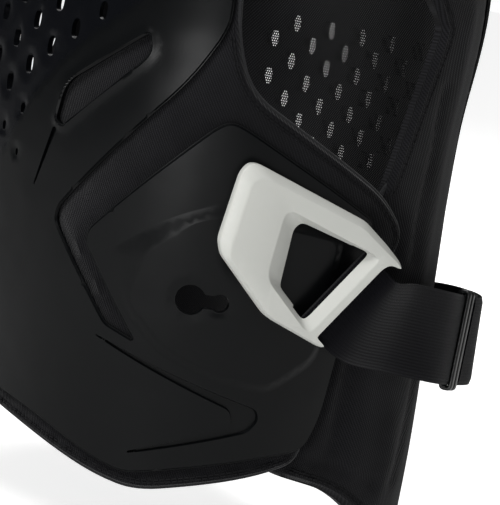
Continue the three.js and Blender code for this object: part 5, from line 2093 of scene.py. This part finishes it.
@dataclass
class Studio:
    """Pale floor, soft lights and the camera at the photo's place."""

    floor_level: float = -452.0
    floor_half: float = 4000.0
    azimuth: float = 50.0
    elevation: float = 10.0
    roll: float = 8.0
    distance: float = 1200.0
    target: tuple[float, float, float] = (135.0, -57.0, -265.0)
    lens: float = 166.1
    ambient: float = 0.1
    floor_glow: float = 0.8
    floor_bounce: float = 0.2

    def lamp(self, name: str, azimuth: float, elevation: float, away: float, size: float, power: float) -> None:
        """Adds a soft light that faces the object.

        Args:
            name: its name.
            azimuth: degrees round from the front.
            elevation: degrees above level.
            away: distance in metres.
            size: width in metres.
            power: strength in watts.
        """
        data = bpy.data.lights.new(name, "AREA")
        data.shape, data.size, data.energy = "DISK", size, power
        lamp = linked(name, data)
        way = bearing(azimuth, elevation)
        lamp.location = Vector(self.target) * MM + way * away
        lamp.rotation_euler = way.to_track_quat("Z", "Y").to_euler()

    def by_eye(self, tree: bpy.types.NodeTree, unseen: float, seen: float) -> bpy.types.NodeSocket:
        """A strength that the camera sees as one value and the object as another."""
        direct = node(tree, "ShaderNodeLightPath").outputs["Is Camera Ray"]
        return node(tree, "ShaderNodeMapRange", {"Value": direct, "To Min": unseen, "To Max": seen}).outputs[0]

    def build(self, paper: bpy.types.Material) -> None:
        """Makes the floor, lights, world and camera.

        Args:
            paper: material of the floor.
        """
        scene = bpy.context.scene
        half, z = self.floor_half, self.floor_level
        shader = next(n for n in paper.node_tree.nodes if n.type == "BSDF_PRINCIPLED")
        shader.inputs["Emission Color"].default_value = (1, 1, 1, 1)
        glow = self.by_eye(paper.node_tree, self.floor_bounce, self.floor_glow)
        paper.node_tree.links.new(glow, shader.inputs["Emission Strength"])
        floor = mesh_object(
            "floor", np.array([(-half, -half, z), (half, -half, z), (half, half, z), (-half, half, z)]),
            [(0, 1, 2, 3)], paper)
        scene.view_settings.view_transform = "Standard"
        world = bpy.data.worlds.new("studio")
        world.use_nodes = True
        tree = world.node_tree
        strength = self.by_eye(tree, self.ambient, 1.0)
        tree.links.new(strength, tree.nodes["Background"].inputs["Strength"])
        tree.nodes["Background"].inputs["Color"].default_value = (1, 1, 1, 1)
        scene.world = world
        self.lamp("key", 8, 50, 1.7, 0.7, 24)
        self.lamp("side", 100, 34, 1.8, 1.0, 4)
        self.lamp("card", 24, 2, 1.3, 0.4, 5)
        self.lamp("back", 215, 40, 1.9, 1.2, 12)
        camera = bpy.data.cameras.new("photo")
        camera.sensor_fit, camera.sensor_height, camera.lens = "VERTICAL", 36.0, self.lens
        camera.dof.use_dof = False
        holder = linked("photo", camera)
        back, right = bearing(self.azimuth, self.elevation), bearing(self.azimuth + 90, 0)
        up, roll = back.cross(right), math.radians(self.roll)
        x = right * math.cos(roll) + up * math.sin(roll)
        y = up * math.cos(roll) - right * math.sin(roll)
        place = Vector(self.target) * MM + back * self.distance * MM
        holder.matrix_world = Matrix.Translation(place) @ Matrix((x, y, back)).transposed().to_4x4()
        scene.camera = holder


class RoostDeflector:
    """The whole object: builds its pieces and hands them to the frame."""

    def __init__(self) -> None:
        """Makes the finishes and the shared sizes."""
        kinds = (SHELL_PLASTIC, LINER_KNIT, SPACER_KNIT, WEBBING, BINDING, HOOK_NYLON, SLIDER_ACETAL, SNAP_STEEL,
                 THREAD)
        self.finishes = {kind.name: kind.build() for kind in kinds}
        self.hook = HookBuckle()
        self.stud = self.hook.keyhole()

    def finish(self, kind: Finish) -> bpy.types.Material:
        """The material of a finish."""
        return self.finishes[kind.name]

    def hand_in(self, piece: bpy.types.Object, slot: str, *nodes: str) -> None:
        """Lets a piece ride on the object and stand for CAD nodes.

        Args:
            piece: the piece.
            slot: not used.
            nodes: names of the CAD nodes that it replaces.
        """
        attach(piece, "root")
        if nodes:
            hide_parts(*nodes)
        LOG.info("%s: %d faces", piece.name, len(piece.data.polygons))

    def pair(
        self, piece: bpy.types.Object, stem: str, slot: str, node_stem: str
    ) -> tuple[bpy.types.Object, bpy.types.Object]:
        """Hands in a left piece and its mirror image.

        Args:
            piece: the left piece.
            stem: their names without the side.
            slot: their slot.
            node_stem: the names of their CAD nodes without the side.

        Returns:
            Both pieces.
        """
        pieces = (piece, mirrored_piece(piece, f"{stem}_right"))
        for side, one in zip(Side, pieces):
            self.hand_in(one, slot, f"{node_stem}_{side.word}")
        return pieces

    def liners(self) -> bpy.types.Object:
        """Builds both liners with their bindings and stitches.

        Returns:
            The back liner.
        """
        front, back = FrontLiner(stud=self.stud), BackLiner()
        borders = FRONT_LINER_LOOP, BACK_LINER_LOOP
        for maker, node_name in ((front, "front_liner"), (back, "back_liner")):
            pad = maker.build(self.finish(LINER_KNIT))
            self.hand_in(pad, "liner_fabric", node_name)
        edges = (("front_liner_piping", 1.2, LINER_OUTER - 0.9), ("back_liner_piping", 1.4, WING_THICKNESS - 1.6))
        for border, (name, inset, standoff) in zip(borders, edges):
            piping = Piping().build(name, offset_line(border, inset), standoff, self.finish(BINDING))
            self.hand_in(piping, "liner_fabric")
        seams = (
            ("front_liner_stitches", front, LINER_OUTER, (4.2, 5.6), 3),
            ("back_liner_stitches", back, WING_THICKNESS, (4.6, 6.2), 7))
        for border, (name, maker, standoff, insets, seed) in zip(borders, seams):
            rows: list[np.ndarray] = []
            for inset in insets:
                line = offset_line(border, inset)
                runs = kept_runs(line, maker.sewn(line))
                rows += [on_body(run, standoff + maker.relief(run) + 0.1) for run in runs]
            self.hand_in(StitchRow(seed=seed).build(name, rows, self.finish(THREAD)), "liner_fabric")
        return pad

    def straps(self) -> None:
        """Builds the straps with their sliders, pads and snaps."""
        strap_maker = SideStrap(self.hook)
        strap = strap_maker.build("side_webbing_left", self.finish(WEBBING))
        self.pair(strap, "side_webbing", "strap_webbing", "side_strap")
        slider = StrapSlider(strap_maker).build("slider_loop_left", self.finish(SLIDER_ACETAL))
        self.pair(slider, "slider_loop", "slider_plastic", "strap_slider")
        arch = ShoulderArch()
        over = arch.strap("shoulder_webbing_left", self.finish(WEBBING))
        self.pair(over, "shoulder_webbing", "strap_webbing", "shoulder_strap")
        pad = arch.pad("shoulder_cushion_left", self.finish(LINER_KNIT))
        Inflation().apply(pad, over_shoulder)
        for piece in self.pair(pad, "shoulder_cushion", "liner_fabric", "shoulder_pad"):
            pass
        rows = arch.stations()
        points, _, normals = strap_maker.stations()
        seats = [("snap_front", rows[1][0], rows[1][2]), ("snap_back", rows[-2][0], rows[-2][2]),
                 ("snap_side", points[-11], normals[-11])]
        for stem, point, normal in seats:
            seat = point + normal * (WEBBING_THICKNESS + WEBBING_GAP)
            cap = Snap().build(f"{stem}_cap_left", seat, normal, self.finish(SNAP_STEEL))
            self.pair(cap, f"{stem}_cap", "snap_cap", stem)

    def build(self) -> None:
        """Builds every piece."""
        front = FrontShell(stud=self.stud).build(self.finish(SHELL_PLASTIC))
        self.hand_in(front, "shell_plastic", "front_shell")
        self.hand_in(BackShell().build(self.finish(SHELL_PLASTIC)), "shell_plastic", "back_shell")
        back_liner = self.liners()
        mesh_maker = BackMesh()
        mesh = mesh_maker.build(self.finish(SPACER_KNIT))
        self.hand_in(mesh, "back_mesh", "back_mesh")
        width, length, area = mesh_maker.cut()
        LOG.info("back mesh cut %.4f x %.4f m, area %.5f m2", width, length, area)
        hook = self.hook.build("hook_buckle_left", self.finish(HOOK_NYLON))
        self.pair(hook, "hook_buckle", "hook_plastic", "hook")
        self.straps()


def main() -> None:
    """Builds the scene in the frame."""
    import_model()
    RoostDeflector().build()
    Studio().build(PAPER.build())
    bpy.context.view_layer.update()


if __name__ == "__main__":
    main()
